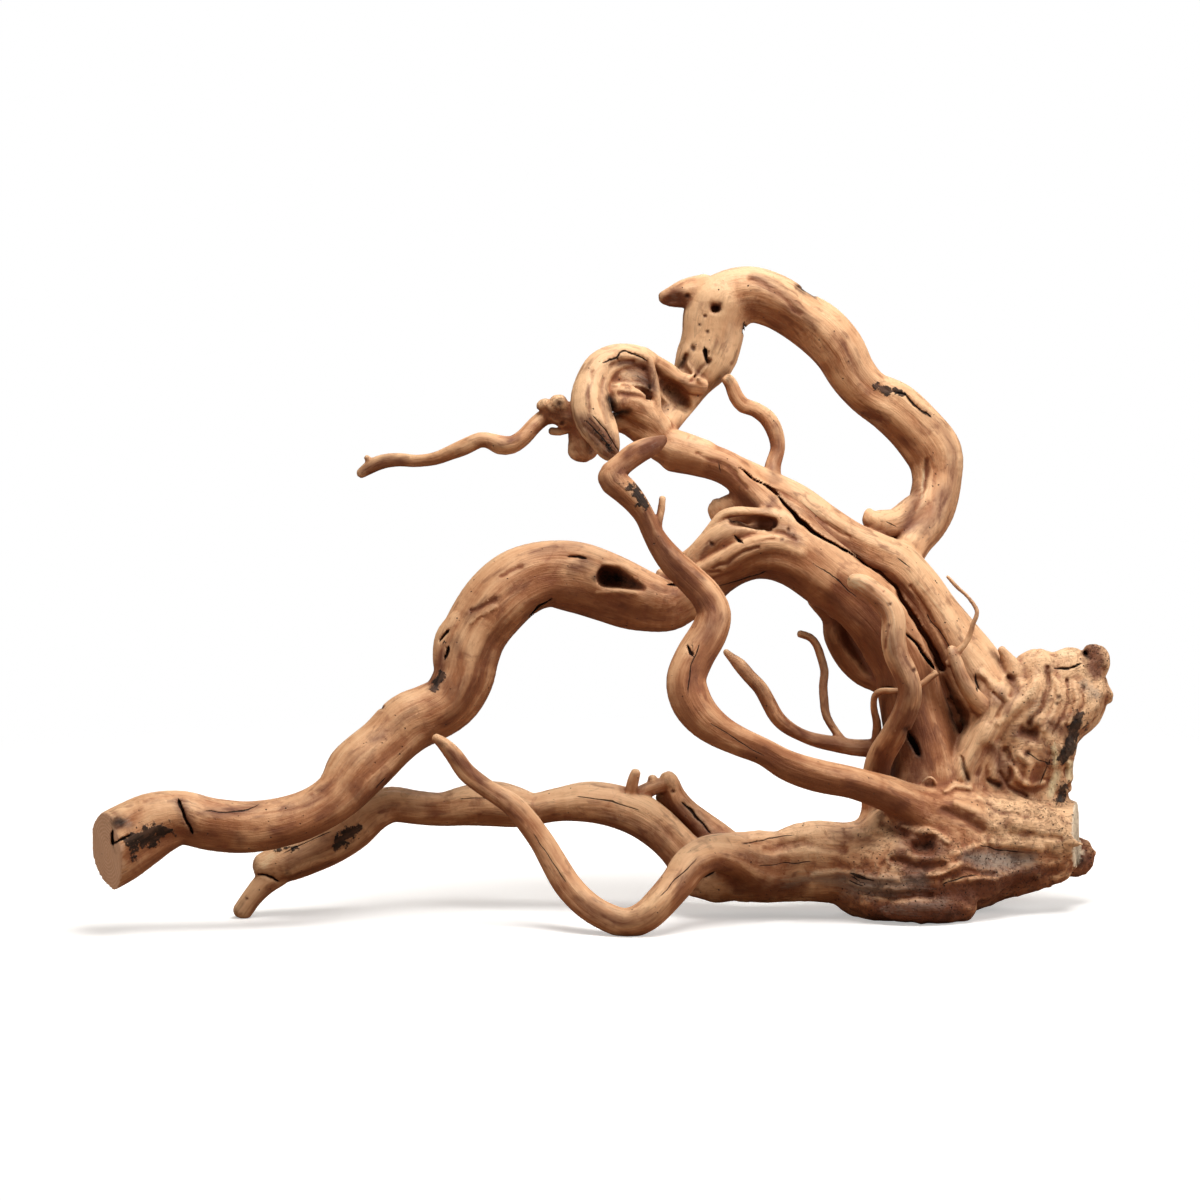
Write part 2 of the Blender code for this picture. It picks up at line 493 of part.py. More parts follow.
def crack_cutter():
    """A thin blade that follows the crack, wide at the front and narrow at the back."""
    bm = bmesh.new()
    rings = []
    for index, (u, v, half) in enumerate(CRACK):
        u_before, v_before, _ = CRACK[max(index - 1, 0)]
        u_after, v_after, _ = CRACK[min(index + 1, len(CRACK) - 1)]
        run = math.hypot(u_after - u_before, v_after - v_before)
        side_u = -(v_after - v_before) / run
        side_v = (u_after - u_before) / run
        ring = []
        for side, w, share in ((-1, CRACK_FRONT, 1), (1, CRACK_FRONT, 1),
                               (1, CRACK_BACK, CRACK_TAPER), (-1, CRACK_BACK, CRACK_TAPER)):
            reach = side * half * share
            point, _ = placed(u + side_u * reach, v + side_v * reach, w)
            ring.append(bm.verts.new(point * MM))
        rings.append(ring)
    for ring, following in zip(rings, rings[1:]):
        for side in range(4):
            beside = (side + 1) % 4
            bm.faces.new((ring[side], ring[beside], following[beside], following[side]))
    bm.faces.new(list(reversed(rings[0])))
    bm.faces.new(rings[-1])
    bmesh.ops.triangulate(bm, faces=bm.faces)
    return mesh_object("crack_cutter", bm)


def hollow_cutter(name, stations, depth):
    """A rounded cutter for one hollow."""
    bm = bmesh.new()
    tube(bm, stations, depth=depth, flutes=0.0)
    bmesh.ops.remove_doubles(bm, verts=bm.verts, dist=ONE_POINT * MM)
    cutter = mesh_object(name + "_cutter", bm)
    thin = cutter.modifiers.new("fewer_faces", "DECIMATE")
    thin.ratio = CUTTER_FACES
    settle(cutter)
    return cutter


def saw_cutter(name, at, faces, reach):
    """A round block whose near face is the saw cut."""
    point, _ = placed(*at)
    outward = (Vector((1, 0, 0)) * faces[0] + view_up() * faces[1] + view_back() * faces[2]).normalized()
    bm = bmesh.new()
    bmesh.ops.create_cone(bm, cap_ends=True, segments=SAW_SIDES, radius1=reach * MM, radius2=reach * MM,
                          depth=SAW_DEPTH * MM)
    cutter = mesh_object(name, bm)
    cutter.rotation_euler = outward.to_track_quat("Z", "Y").to_euler()
    cutter.location = (point + outward * (SAW_DEPTH / 2)) * MM
    return cutter


def floor_cutter():
    """A slab under the root: its top is the surface that the root lies on."""
    bm = bmesh.new()
    bmesh.ops.create_cube(bm, size=FLOOR_BLOCK * MM)
    cutter = mesh_object("floor_cutter", bm)
    cutter.location = (0.0, 0.0, -FLOOR_BLOCK / 2 * MM)
    return cutter


def cut_away(root, cutters):
    """Subtract the cutters from the root, and drop them."""
    group = bpy.data.collections.new("cutters")
    bpy.context.scene.collection.children.link(group)
    for cutter in cutters:
        cutter.hide_render = True
        cutter.display_type = "WIRE"
        bpy.context.scene.collection.objects.unlink(cutter)
        group.objects.link(cutter)
    cut = root.modifiers.new("cut_away", "BOOLEAN")
    cut.operation = "DIFFERENCE"
    cut.operand_type = "COLLECTION"
    cut.collection = group
    cut.solver = "EXACT"
    settle(root)
    for cutter in cutters:
        bpy.data.objects.remove(cutter, do_unlink=True)
    bpy.data.collections.remove(group)
    keep_the_body(root)


def build_root():
    """The whole root: grown, cut, sawn and planed."""
    root = grown_skin()
    cutters = [crack_cutter()]
    cutters += [hollow_cutter(name, stations, depth) for name, (stations, depth) in HOLLOWS.items()]
    cutters.append(saw_cutter("left_saw_cutter", *LEFT_SAW))
    cutters.append(saw_cutter("right_saw_cutter", *RIGHT_SAW))
    cutters.append(floor_cutter())
    cut_away(root, cutters)
    root.data.materials.clear()
    root.data.materials.append(wood_material())
    root.data.shade_smooth()
    root.data.set_sharp_from_angle(angle=CREASE)
    return root


clear_scene()
build_root()
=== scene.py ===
"""Driftwood root for an aquarium: the finished look of one grown, weathered piece of wood.

The root is drawn as limbs on an upright drawing: u across to the right, v up, w back into the drawing, and
the limb's radius there, all in millimetres. The limbs are those of the solid model. Here they are grown
together as a field of distances, which is ridged, pitted, cracked and sawn, and a fine skin is laid over it.
Each point of the skin then knows its grain direction and what the weather did there, and the wood's
material draws fibres, stains, bark, grey wood and fresh wood from that, and paints light and shade as
well: paler tops, darker undersides and low limbs, and near-black cracks, holes and hollows.
"""
from __future__ import annotations

import logging
import math
from dataclasses import dataclass, fields
from enum import Enum
from typing import ClassVar

import bpy
import numpy as np
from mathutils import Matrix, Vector

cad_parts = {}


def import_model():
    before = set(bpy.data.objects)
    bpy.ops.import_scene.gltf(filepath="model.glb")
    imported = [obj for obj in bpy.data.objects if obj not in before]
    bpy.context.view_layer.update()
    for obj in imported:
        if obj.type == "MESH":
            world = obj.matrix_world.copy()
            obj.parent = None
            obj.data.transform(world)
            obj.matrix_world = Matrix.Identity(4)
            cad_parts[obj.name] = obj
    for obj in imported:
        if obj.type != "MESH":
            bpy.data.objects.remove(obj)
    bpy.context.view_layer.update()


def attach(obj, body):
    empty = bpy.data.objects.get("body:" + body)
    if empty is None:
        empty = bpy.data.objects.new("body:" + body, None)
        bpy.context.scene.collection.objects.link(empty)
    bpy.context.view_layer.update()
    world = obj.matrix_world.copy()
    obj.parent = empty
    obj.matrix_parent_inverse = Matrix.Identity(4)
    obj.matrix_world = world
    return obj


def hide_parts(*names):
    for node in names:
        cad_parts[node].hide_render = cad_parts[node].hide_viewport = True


LOG = logging.getLogger("driftwood_root")
MM = 0.001
NODE = "driftwood_root"
BODY = "root"

# How closely a limb's centre line is read, its domed ends, and its shallow flutes
STATION_GAP = 4.0
DOME_LENGTH = 0.8
DOME_START = 0.784
FLUTE_SHIFT = 1.7
FLUTES = ((3, 0.045, 190), (5, 0.020, -120), (8, 0.012, 210))  # how many round it, height, twist in mm

# How wide the crease between limbs is: a share of the limb's radius, between two limits
BLEND_SHARE = 0.24
BLEND_LEAST = 1.1
BLEND_MOST = 5.0

# The field of distances: the fine cell, how many fine cells a rough cell holds, and the reach of each pass
FINE_CELL = 1.0
ROUGH_CELLS = 4
FAR = 24.0
ROUGH_REACH = 14.0
LIMB_REACH = 7.0
CARVE_REACH = 6.0
FINE_BAND = 5.2
SKIN_TRIANGLES = 192000
CHUNK = 40000

# How shut in a place is, and how far it stands out: the distances looked along, the rounds of smoothing
SHUT_REACHES = (5.0, 9.0, 15.0)
SMOOTHINGS = 6
SMOOTHING = 0.6
FULL_STAND = 1.1

# How far from a crack its line is noted, and the side and half width noted where there is none
CRACK_REACH = 5.0
NO_CRACK = (6.0, -3.0)

# What keeps the grain of one limb from lining up with the next one's, in millimetres
GRAIN_SHIFT = (37.0, 53.0, 211.0)
NO_GRAIN = 200.0

Stations = tuple[tuple[float, float, float, float], ...]
Path = tuple[tuple[float, float, float], ...]
Socket = bpy.types.NodeSocket


class Grain(Enum):
    """Which grain map a limb writes its direction into: limbs that meet use different ones."""

    NONE = -1
    FIRST = 0
    SECOND = 1
    THIRD = 2


class Kind(Enum):
    """What a mark on the wood is. Dark marks are mostly painted shade in hollows, pits and cracks, and some
    stains are painted shade too.
    """

    CRACK = "crack"
    PIT = "pit"
    GROOVE = "groove"
    RIDGE = "ridge"
    STAIN = "stain"
    BARK = "bark"
    GREY = "grey"
    FRESH = "fresh"
    DARK = "dark"


CRACK, PIT, GROOVE, RIDGE, STAIN, BARK, GREY, FRESH, DARK = Kind


@dataclass(frozen=True)
class Limb:
    """A limb's stations on the drawing, its grain map, how gnarled it is, and how pale (1) or dark (-1): its
    own tone with painted light and shade.
    """

    stations: Stations
    grain: Grain = Grain.NONE
    burl: float = 0.0
    tone: float = 0.0


@dataclass(frozen=True)
class Hollow:
    """A hollow cut into the wood: its stations, how much deeper than wide it is, and its soft rim."""

    stations: Stations
    depth: float = 1.0
    rim: float = 2.0


@dataclass(frozen=True)
class Mark:
    """A stroke on the drawing, on the near side of one limb: u, v and half its width at each point.

    Its depth is how far it cuts into the wood, or raises it where below nought; its strength is how strongly
    it colours.
    """

    kind: Kind
    limb: str
    path: Path
    depth: float = 0.0
    strength: float = 1.0


@dataclass(frozen=True)
class SawCut:
    """A sawn end: a point on the cut, the direction it looks in, its reach, and how fresh it still is."""

    point: tuple[float, float, float]
    faces: tuple[float, float, float]
    reach: float
    fresh: float = 0.0


@dataclass(frozen=True)
class Growth:
    """A stretch of the root: its limbs, its hollows, and the marks on its skin."""

    def parts(self, kind: type) -> dict[str, object]:
        """The stretch's limbs, hollows, deep cracks or saw cuts, by name."""
        found = {item.name: getattr(self, item.name) for item in fields(self)}
        return {name: part for name, part in found.items() if isinstance(part, kind)}


def marks_on(limb: str, rows: tuple[tuple, ...]) -> tuple[Mark, ...]:
    """Make a limb's marks from a table.

    Args:
        limb: the limb that carries them.
        rows: each mark's kind and path, and its depth and strength where they aren't the usual ones.

    Returns:
        The marks.
    """
    return tuple(Mark(kind, limb, *rest) for kind, *rest in rows)


@dataclass(frozen=True)
class Drawing:
    """The upright drawing of the root, seen from a little above, and the eye that looks at it."""

    tilt: float = math.radians(6.0)
    distance: float = 2500.0
    width: float = 720.0
    origin: tuple[float, float, float] = (-5.3, 6.0, 186.5)

    def back(self) -> np.ndarray:
        """The direction that looks into the drawing."""
        return np.array((0.0, math.cos(self.tilt), -math.sin(self.tilt)))

    def up(self) -> np.ndarray:
        """The direction that is up on the drawing."""
        return np.array((0.0, math.sin(self.tilt), math.cos(self.tilt)))

    def place(self, drawn: np.ndarray) -> np.ndarray:
        """Turn drawn stations into points in the root's frame.

        Args:
            drawn: rows of u, v, w and radius.

        Returns:
            Rows of x, y, z and radius, in millimetres.
        """
        scale = (self.distance + drawn[:, 2:3]) / self.distance
        points = (np.array(self.origin) + drawn[:, :1] * scale * np.array((1.0, 0.0, 0.0))
                  + drawn[:, 1:2] * scale * self.up() + drawn[:, 2:3] * self.back())
        return np.hstack((points, drawn[:, 3:4] * scale))

    def read(self, points: np.ndarray) -> np.ndarray:
        """Where points of the root lie on the drawing.

        Args:
            points: rows of x, y, z in millimetres.

        Returns:
            Rows of u, v and w.
        """
        offset = points - np.array(self.origin, np.float32)
        deep = offset @ self.back().astype(np.float32)
        scale = (self.distance + deep) / self.distance
        return np.column_stack((offset[:, 0] / scale, offset @ self.up().astype(np.float32) / scale, deep))


class SmoothNoise:
    """Smooth random values in space, between about -1 and 1, the same on every run."""

    CELLS = 32

    def __init__(self, seed: int) -> None:
        """Fill the lattice.

        Args:
            seed: which lattice this is.
        """
        self.table = np.random.default_rng(seed).uniform(-1.0, 1.0, self.CELLS ** 3).astype(np.float32)

    def __call__(self, points: np.ndarray) -> np.ndarray:
        """Read the noise.

        Args:
            points: rows of three coordinates, one unit a lattice cell.

        Returns:
            One value a row.
        """
        value = np.zeros(len(points), np.float32)
        for start in range(0, len(points), CHUNK):
            some = points[start:start + CHUNK].T.astype(np.float32)
            floor = np.floor(some)
            part = some - floor
            part = part * part * (3.0 - 2.0 * part)
            low = floor.astype(np.int32) & (self.CELLS - 1)
            high = (low + 1) & (self.CELLS - 1)
            row = (low[0] * self.CELLS, high[0] * self.CELLS)
            for first in (0, 1):
                for second in (0, 1):
                    line = (row[first] + (high[1] if second else low[1])) * self.CELLS
                    along = self.table[line + low[2]]
                    along += (self.table[line + high[2]] - along) * part[2]
                    along *= (part[0] if first else 1 - part[0]) * (part[1] if second else 1 - part[1])
                    value[start:start + CHUNK] += along
        return value


class Chain:
    """A limb's smooth centre line in the root's frame, with its radius and the axes across it."""

    ridges = SmoothNoise(11)
    swells = SmoothNoise(12)

    def __init__(self, drawing: Drawing, limb: Limb, number: int) -> None:
        """Read the limb's centre line every few millimetres.

        Args:
            drawing: the drawing that the stations are on.
            limb: the limb, or a hollow's stations as one.
            number: the limb's place in the root, which shifts its flutes and its grain.
        """
        keys = list(drawing.place(np.array(limb.stations, float)))
        keys = [2 * keys[0] - keys[1]] + keys + [2 * keys[-1] - keys[-2]]
        read = []
        for before, here, there, after in zip(keys, keys[1:], keys[2:], keys[3:]):
            steps = max(2, math.ceil(np.linalg.norm((there - here)[:3]) / STATION_GAP))
            for step in range(steps):
                t = step / steps
                read.append(0.5 * (2 * here + (there - before) * t
                                   + (2 * before - 5 * here + 4 * there - after) * t ** 2
                                   + (3 * here - before - 3 * there + after) * t ** 3))
        read.append(keys[-2])
        table = np.array(read, np.float32)
        self.limb = limb
        self.number = number
        self.points = table[:, :3]
        self.radii = table[:, 3]
        self.runs = np.diff(self.points, axis=0)
        lengths = np.linalg.norm(self.runs, axis=1)
        self.squares = lengths ** 2
        self.travel = np.concatenate(((0.0,), np.cumsum(lengths))).astype(np.float32)
        self.travel += DOME_START * self.radii[0]
        ahead = np.gradient(self.points, axis=0)
        ahead /= np.linalg.norm(ahead, axis=1)[:, None]
        across = np.cross(ahead, drawing.back())
        self.across = (across / np.linalg.norm(across, axis=1)[:, None]).astype(np.float32)
        self.inward = np.cross(self.across, ahead).astype(np.float32)
        middle = float(np.median(self.radii))
        self.blend = min(BLEND_MOST, max(BLEND_LEAST, BLEND_SHARE * middle))
        self.low = (self.points - self.radii[:, None]).min(axis=0)
        self.high = (self.points + self.radii[:, None]).max(axis=0)

    def nearest(self, points: np.ndarray, around: np.ndarray | None = None,
                reach: int = 2) -> tuple[np.ndarray, np.ndarray, np.ndarray]:
        """Find the nearest place on the centre line.

        Args:
            points: rows of x, y, z.
            around: a stretch near each point to search about, or None to search them all.
            reach: how many stretches either way to search.

        Returns:
            The stretch, how far along it, and the distance to the plain round limb.
        """
        last = len(self.runs) - 1
        gaps = np.full(len(points), np.inf, np.float32)
        stretches = np.zeros(len(points), np.int32)
        shares = np.zeros(len(points), np.float32)
        for start in range(0, len(points), CHUNK):
            some = slice(start, start + CHUNK)
            x, y, z = np.ascontiguousarray(points[some].T)
            best = gaps[some]
            for step in range(last + 1) if around is None else range(-reach, reach + 1):
                index = np.int32(step) if around is None else np.clip(around[some] + step, 0, last)
                run, base = self.runs[index].T, self.points[index].T
                dx, dy, dz = x - base[0], y - base[1], z - base[2]
                square = self.squares[index]
                raw = (dx * run[0] + dy * run[1] + dz * run[2]) / square
                t = np.clip(raw, 0.0, 1.0)
                dx -= t * run[0]
                dy -= t * run[1]
                dz -= t * run[2]
                gap2 = dx * dx + dy * dy + dz * dz
                over = ((index == 0) & (raw < 0)) | ((index == last) & (raw > 1))
                gap2 += over * (raw - t) ** 2 * square * np.float32(1 / DOME_LENGTH ** 2 - 1)
                radius = self.radii[index]
                gap = np.sqrt(gap2) - radius - t * (self.radii[index + 1] - radius)
                better = gap < best
                best[better] = gap[better]
                stretches[some][better] = step if around is None else index[better]
                shares[some][better] = t[better]
        return stretches, shares, gaps

    def local(self, points: np.ndarray, stretch: np.ndarray,
              share: np.ndarray) -> tuple[np.ndarray, np.ndarray]:
        """Where points lie in the limb's own axes.

        Args:
            points: rows of x, y, z.
            stretch: the nearest stretch for each.
            share: how far along it.

        Returns:
            Rows of across, inward and travel along the limb, and the limb's radius there.
        """
        t = share[:, None]
        offset = points - self.points[stretch] - t * self.runs[stretch]
        across = self.across[stretch] * (1 - t) + self.across[stretch + 1] * t
        inward = self.inward[stretch] * (1 - t) + self.inward[stretch + 1] * t
        travel = self.travel[stretch] * (1 - share) + self.travel[stretch + 1] * share
        radius = self.radii[stretch] * (1 - share) + self.radii[stretch + 1] * share
        return np.column_stack(((offset * across).sum(axis=1), (offset * inward).sum(axis=1), travel)), radius

    def relief(self, local: np.ndarray, radius: np.ndarray) -> np.ndarray:
        """How far the real limb stands out from the plain round one.

        Args:
            local: rows of across, inward and travel.
            radius: the plain radius at each.

        Returns:
            Millimetres outwards.
        """
        angle = np.arctan2(local[:, 1], local[:, 0])
        travel = local[:, 2]
        phase = FLUTE_SHIFT * self.number
        flutes = sum(height * np.sin(count * angle + turn * phase + travel * (2 * math.pi / twist))
                     for turn, (count, height, twist) in enumerate(FLUTES, 1))
        shift = np.array((3.1, 5.7, 1.9), np.float32) * self.number
        swell = self.swells(local / np.array((14.0, 14.0, 34.0), np.float32) + shift)
        ridge = self.ridges(local / np.array((5.2, 5.2, 42.0), np.float32) + shift)
        return (radius * flutes + np.clip(0.055 * radius, 0.12, 1.1) * swell
                + np.clip(0.022 * radius, 0.08, 0.34) * ridge)

    def middle_at(self, u: float, v: float, drawing: Drawing) -> tuple[float, float]:
        """The limb's depth on the drawing and its radius nearest to a drawn place.

        Args:
            u: across the drawing.
            v: up the drawing.
            drawing: the drawing.

        Returns:
            The depth w and the radius.
        """
        read = drawing.read(self.points)
        index = int(np.argmin((read[:, 0] - u) ** 2 + (read[:, 1] - v) ** 2))
        return float(read[index, 2]), float(self.radii[index])


def joined(first: np.ndarray, second: np.ndarray, blend: float) -> tuple[np.ndarray, np.ndarray]:
    """Two distances grown together with a rounded crease.

    Args:
        first: distances to what is there.
        second: distances to what is added.
        blend: how wide the rounded crease is.

    Returns:
        The joined distances, and the share of the added one.
    """
    share = np.clip(0.5 + 0.5 * (first - second) / blend, 0.0, 1.0)
    return first + (second - first) * share - blend * share * (1 - share), share


class Finder:
    """Points sorted across the drawing, so that those in a small box are found quickly."""

    def __init__(self, drawn: np.ndarray) -> None:
        """Sort the points.

        Args:
            drawn: rows of u, v and w.
        """
        self.drawn = drawn
        self.order = np.argsort(drawn[:, 0])
        self.across = drawn[self.order, 0]

    def inside(self, low: tuple[float, float, float], high: tuple[float, float, float]) -> np.ndarray:
        """Which points lie in a box.

        Args:
            low: its lowest u, v and w.
            high: its highest.

        Returns:
            The rows' numbers.
        """
        start, stop = np.searchsorted(self.across, (low[0], high[0]))
        rows = self.order[start:stop]
        v, deep = self.drawn[rows, 1], self.drawn[rows, 2]
        return rows[(v > low[1]) & (v < high[1]) & (deep > low[2]) & (deep < high[2])]


@dataclass(frozen=True)
class Stroke:
    """A mark made ready for reading: its path, and how deep on the drawing it may reach."""

    mark: Mark
    path: np.ndarray
    front: float
    back: float
    wobble: ClassVar[tuple[SmoothNoise, SmoothNoise]] = (SmoothNoise(41), SmoothNoise(42))
    WOBBLE: ClassVar[float] = 0.9
    WOBBLE_LENGTH: ClassVar[float] = 6.5

    @classmethod
    def from_mark(cls, mark: Mark, chain: Chain, drawing: Drawing) -> Stroke:
        """Work out the depths that a mark may reach.

        Args:
            mark: the mark.
            chain: the limb that carries it.
            drawing: the drawing.

        Returns:
            The stroke.
        """
        path = np.array(mark.path, np.float32)
        middles = [chain.middle_at(u, v, drawing) for u, v, _ in mark.path]
        front = min(deep - 1.7 * radius for deep, radius in middles) - 4.0
        back = max(deep + 0.35 * radius for deep, radius in middles)
        return cls(mark, path, front, back)

    def near(self, finder: Finder, margin: float) -> np.ndarray:
        """Which drawn points the stroke can reach.

        Args:
            finder: the drawn points.
            margin: how far past its width.

        Returns:
            The rows' numbers.
        """
        wide = self.path[:, 2].max() + margin
        low = self.path[:, :2].min(axis=0) - wide
        high = self.path[:, :2].max(axis=0) + wide
        return finder.inside((low[0], low[1], self.front), (high[0], high[1], self.back))

    def distance(self, drawn: np.ndarray) -> tuple[np.ndarray, np.ndarray, np.ndarray, np.ndarray]:
        """How far drawn points lie from the stroke, whose path wobbles as a grown thing does.

        Args:
            drawn: rows of u, v and w.

        Returns:
            The distance to the middle of the stroke, half its width there, the signed distance to the
            stroke's line, and how far past its ends.
        """
        where = drawn / self.WOBBLE_LENGTH
        u = drawn[:, 0] + self.WOBBLE * self.wobble[0](where)
        v = drawn[:, 1] + self.WOBBLE * self.wobble[1](where)
        path = self.path if len(self.path) > 1 else np.vstack((self.path, self.path + (0.01, 0, 0)))
        best = np.full(len(drawn), np.inf, np.float32)
        found = [np.zeros(len(drawn), np.float32) for _ in range(4)]
        for start, end in zip(path, path[1:]):
            run = end[:2] - start[:2]
            length = float(np.hypot(*run))
            du, dv = u - start[0], v - start[1]
            along = (du * run[0] + dv * run[1]) / length
            t = np.clip(along / length, 0.0, 1.0)
            side = (run[0] * dv - run[1] * du) / length
            past = np.abs(along - t * length)
            gap = np.hypot(side, past)
            half = start[2] + t * (end[2] - start[2])
            better = gap - half < best
            best[better] = (gap - half)[better]
            for keep, value in zip(found, (gap, half, side, past)):
                keep[better] = value[better]
        return found[0], found[1], found[2], found[3]

    def carve(self, field_values: np.ndarray, drawn: np.ndarray) -> np.ndarray:
        """Cut the mark into the wood, or raise it.

        Args:
            field_values: distances to the wood's surface.
            drawn: the points on the drawing.

        Returns:
            The new distances.
        """
        gap, half, _, _ = self.distance(drawn)
        if self.mark.kind is CRACK:
            inside = np.minimum(np.minimum(half - gap, drawn[:, 2] - self.front), self.back - drawn[:, 2])
            return np.maximum(field_values, np.minimum(inside, field_values + self.mark.depth))
        shape = np.clip(1.0 - gap / half, 0.0, 1.0)
        return field_values + self.mark.depth * shape * shape * (3 - 2 * shape)


def stretched(grid: np.ndarray, axis: int, times: int) -> np.ndarray:
    """Read a grid more finely along one axis, in straight lines between its points.

    Args:
        grid: the grid.
        axis: the axis.
        times: how many new steps make an old one.

    Returns:
        The finer grid.
    """
    grid = np.moveaxis(grid, axis, 0)
    finer = np.empty(((len(grid) - 1) * times + 1,) + grid.shape[1:], np.float32)
    for step in range(times):
        finer[step:-1:times] = grid[:-1] + (grid[1:] - grid[:-1]) * np.float32(step / times)
    finer[-1] = grid[-1]
    return np.moveaxis(finer, 0, axis)


class Skin:
    """The wood's surface, held as distances on a fine grid near it."""

    def __init__(self, low: np.ndarray, high: np.ndarray, drawing: Drawing) -> None:
        """Lay out the grids.

        Args:
            low: the lowest corner, in millimetres.
            high: the highest corner.
            drawing: the drawing that marks are read on.
        """
        step = FINE_CELL * ROUGH_CELLS
        self.low = low.astype(np.float32)
        self.drawing = drawing
        self.cells = np.ceil((high - low) / step).astype(int)
        self.size = self.cells * ROUGH_CELLS + 1
        self.rough = np.full(self.cells + 1, FAR, np.float32)
        self.notes: list[tuple] = []
        self.where = np.zeros(0, np.int64)
        self.values = np.zeros(0, np.float32)
        self.burl = np.zeros(0, np.float32)
        self.points = np.zeros((0, 3), np.float32)
        self.drawn = np.zeros((0, 3), np.float32)
        self.finder = Finder(self.drawn)
        self.dense = self.rough

    def rough_points(self, low: np.ndarray, high: np.ndarray) -> np.ndarray:
        """The rough grid's points between two of its corners.

        Args:
            low: the first corner's numbers.
            high: the second corner's, which is left out.

        Returns:
            Rows of x, y, z in millimetres.
        """
        axes = [np.arange(low[axis], high[axis], dtype=np.float32) for axis in range(3)]
        grid = np.stack(np.meshgrid(*axes, indexing="ij"), axis=-1).reshape(-1, 3)
        return grid * np.float32(FINE_CELL * ROUGH_CELLS) + self.low

    def survey(self, chain: Chain) -> None:
        """Add a limb to the rough grid, and note where it is.

        Args:
            chain: the limb's centre line.
        """
        step = FINE_CELL * ROUGH_CELLS
        low = np.floor((chain.low - ROUGH_REACH - self.low) / step).astype(int)
        high = np.ceil((chain.high + ROUGH_REACH - self.low) / step).astype(int) + 1
        low, high = np.clip(low, 0, self.cells), np.clip(high, 0, self.cells + 1)
        stretch, _, gap = chain.nearest(self.rough_points(low, high))
        shape = tuple(high - low)
        window = tuple(slice(a, b) for a, b in zip(low, high))
        self.rough[window], _ = joined(self.rough[window], gap.reshape(shape), chain.blend)
        self.notes.append((chain, low, stretch.reshape(shape), gap.reshape(shape) < LIMB_REACH + chain.blend))

    def carve_rough(self, cuts: list[HollowCut | Cleft]) -> None:
        """Cut the hollows and deep cracks out of the rough grid, so that their walls are kept as skin too.

        Args:
            cuts: what is cut.
        """
        near = np.flatnonzero((self.rough < CARVE_REACH).ravel())
        index = np.column_stack(np.unravel_index(near, self.rough.shape)).astype(np.float32)
        points = index * np.float32(FINE_CELL * ROUGH_CELLS) + self.low
        drawn = self.drawing.read(points).astype(np.float32)
        flat = self.rough.ravel()
        values = flat[near]
        for cut in cuts:
            values = cut.cut(values, points, drawn)
        flat[near] = values
        self.rough = flat.reshape(self.rough.shape)

    def closeness(self, points: np.ndarray, normals: np.ndarray) -> np.ndarray:
        """How shut in each point is by the wood around it.

        Args:
            points: rows of x, y, z in millimetres.
            normals: the normals there.

        Returns:
            A value from 0, open, to 1, shut in.
        """
        shut = np.zeros(len(points), np.float32)
        for reach in SHUT_REACHES:
            place = (points + normals * reach - self.low) / (FINE_CELL * ROUGH_CELLS)
            place = np.clip(place, 0, np.array(self.rough.shape) - 1.001)
            floor = place.astype(np.int32)
            part = place - floor
            value = np.zeros(len(points), np.float32)
            for corner in range(8):
                pick = [(corner >> axis) & 1 for axis in range(3)]
                shares = [part[:, axis] if pick[axis] else 1 - part[:, axis] for axis in range(3)]
                share = np.prod(shares, axis=0)
                value += share * self.rough[tuple(floor[:, axis] + pick[axis] for axis in range(3))]
            shut += np.clip(1 - value / reach, 0, 1) / len(SHUT_REACHES)
        return shut

    def refine(self) -> None:
        """Choose the fine points near the surface, and read every limb there."""
        self.dense = self.rough
        for axis in range(3):
            self.dense = stretched(self.dense, axis, ROUGH_CELLS)
        self.dense = np.ascontiguousarray(self.dense)
        mask = np.abs(self.dense) < FINE_BAND
        self.where = np.flatnonzero(mask.ravel())
        number = np.full(mask.size, -1, np.int32)
        number[self.where] = np.arange(len(self.where), dtype=np.int32)
        number = number.reshape(self.size)
        index = np.column_stack(np.unravel_index(self.where, self.size)).astype(np.float32)
        self.points = index * np.float32(FINE_CELL) + self.low
        self.drawn = self.drawing.read(self.points).astype(np.float32)
        self.finder = Finder(self.drawn)
        self.values = np.full(len(self.where), FAR, np.float32)
        self.burl = np.zeros(len(self.where), np.float32)
        for chain, corner, stretch, near in self.notes:
            self.read_limb(chain, corner, stretch, near, number)
        LOG.info("field: %d fine points", len(self.where))

    def read_limb(self, chain: Chain, corner: np.ndarray, stretch: np.ndarray, near: np.ndarray,
                  number: np.ndarray) -> None:
        """Join one limb to the fine field.

        Args:
            chain: the limb's centre line.
            corner: the rough corner of its window.
            stretch: the nearest stretch at the window's rough points.
            near: which of those are near the limb.
            number: the fine points' numbers, or -1.
        """
        start = np.maximum(corner * ROUGH_CELLS - ROUGH_CELLS // 2, 0)
        stop = np.minimum((corner + near.shape) * ROUGH_CELLS - ROUGH_CELLS // 2, self.size)
        picks = [(np.arange(first, last) + ROUGH_CELLS // 2) // ROUGH_CELLS - base
                 for first, last, base in zip(start, stop, corner)]
        picks = [np.clip(pick, 0, size - 1) for pick, size in zip(picks, near.shape)]
        window = number[start[0]:stop[0], start[1]:stop[1], start[2]:stop[2]]
        chosen = (window >= 0) & near[np.ix_(*picks)]
        ids = window[chosen]
        around = stretch[np.ix_(*picks)][chosen]
        if not len(ids):
            return
        points = self.points[ids]
        stretch_fine, share, gap = chain.nearest(points, around)
        local, radius = chain.local(points, stretch_fine, share)
        gap = gap - chain.relief(local, radius)
        joined_values, weight = joined(self.values[ids], gap, chain.blend)
        self.values[ids] = joined_values
        self.burl[ids] += (chain.limb.burl - self.burl[ids]) * weight

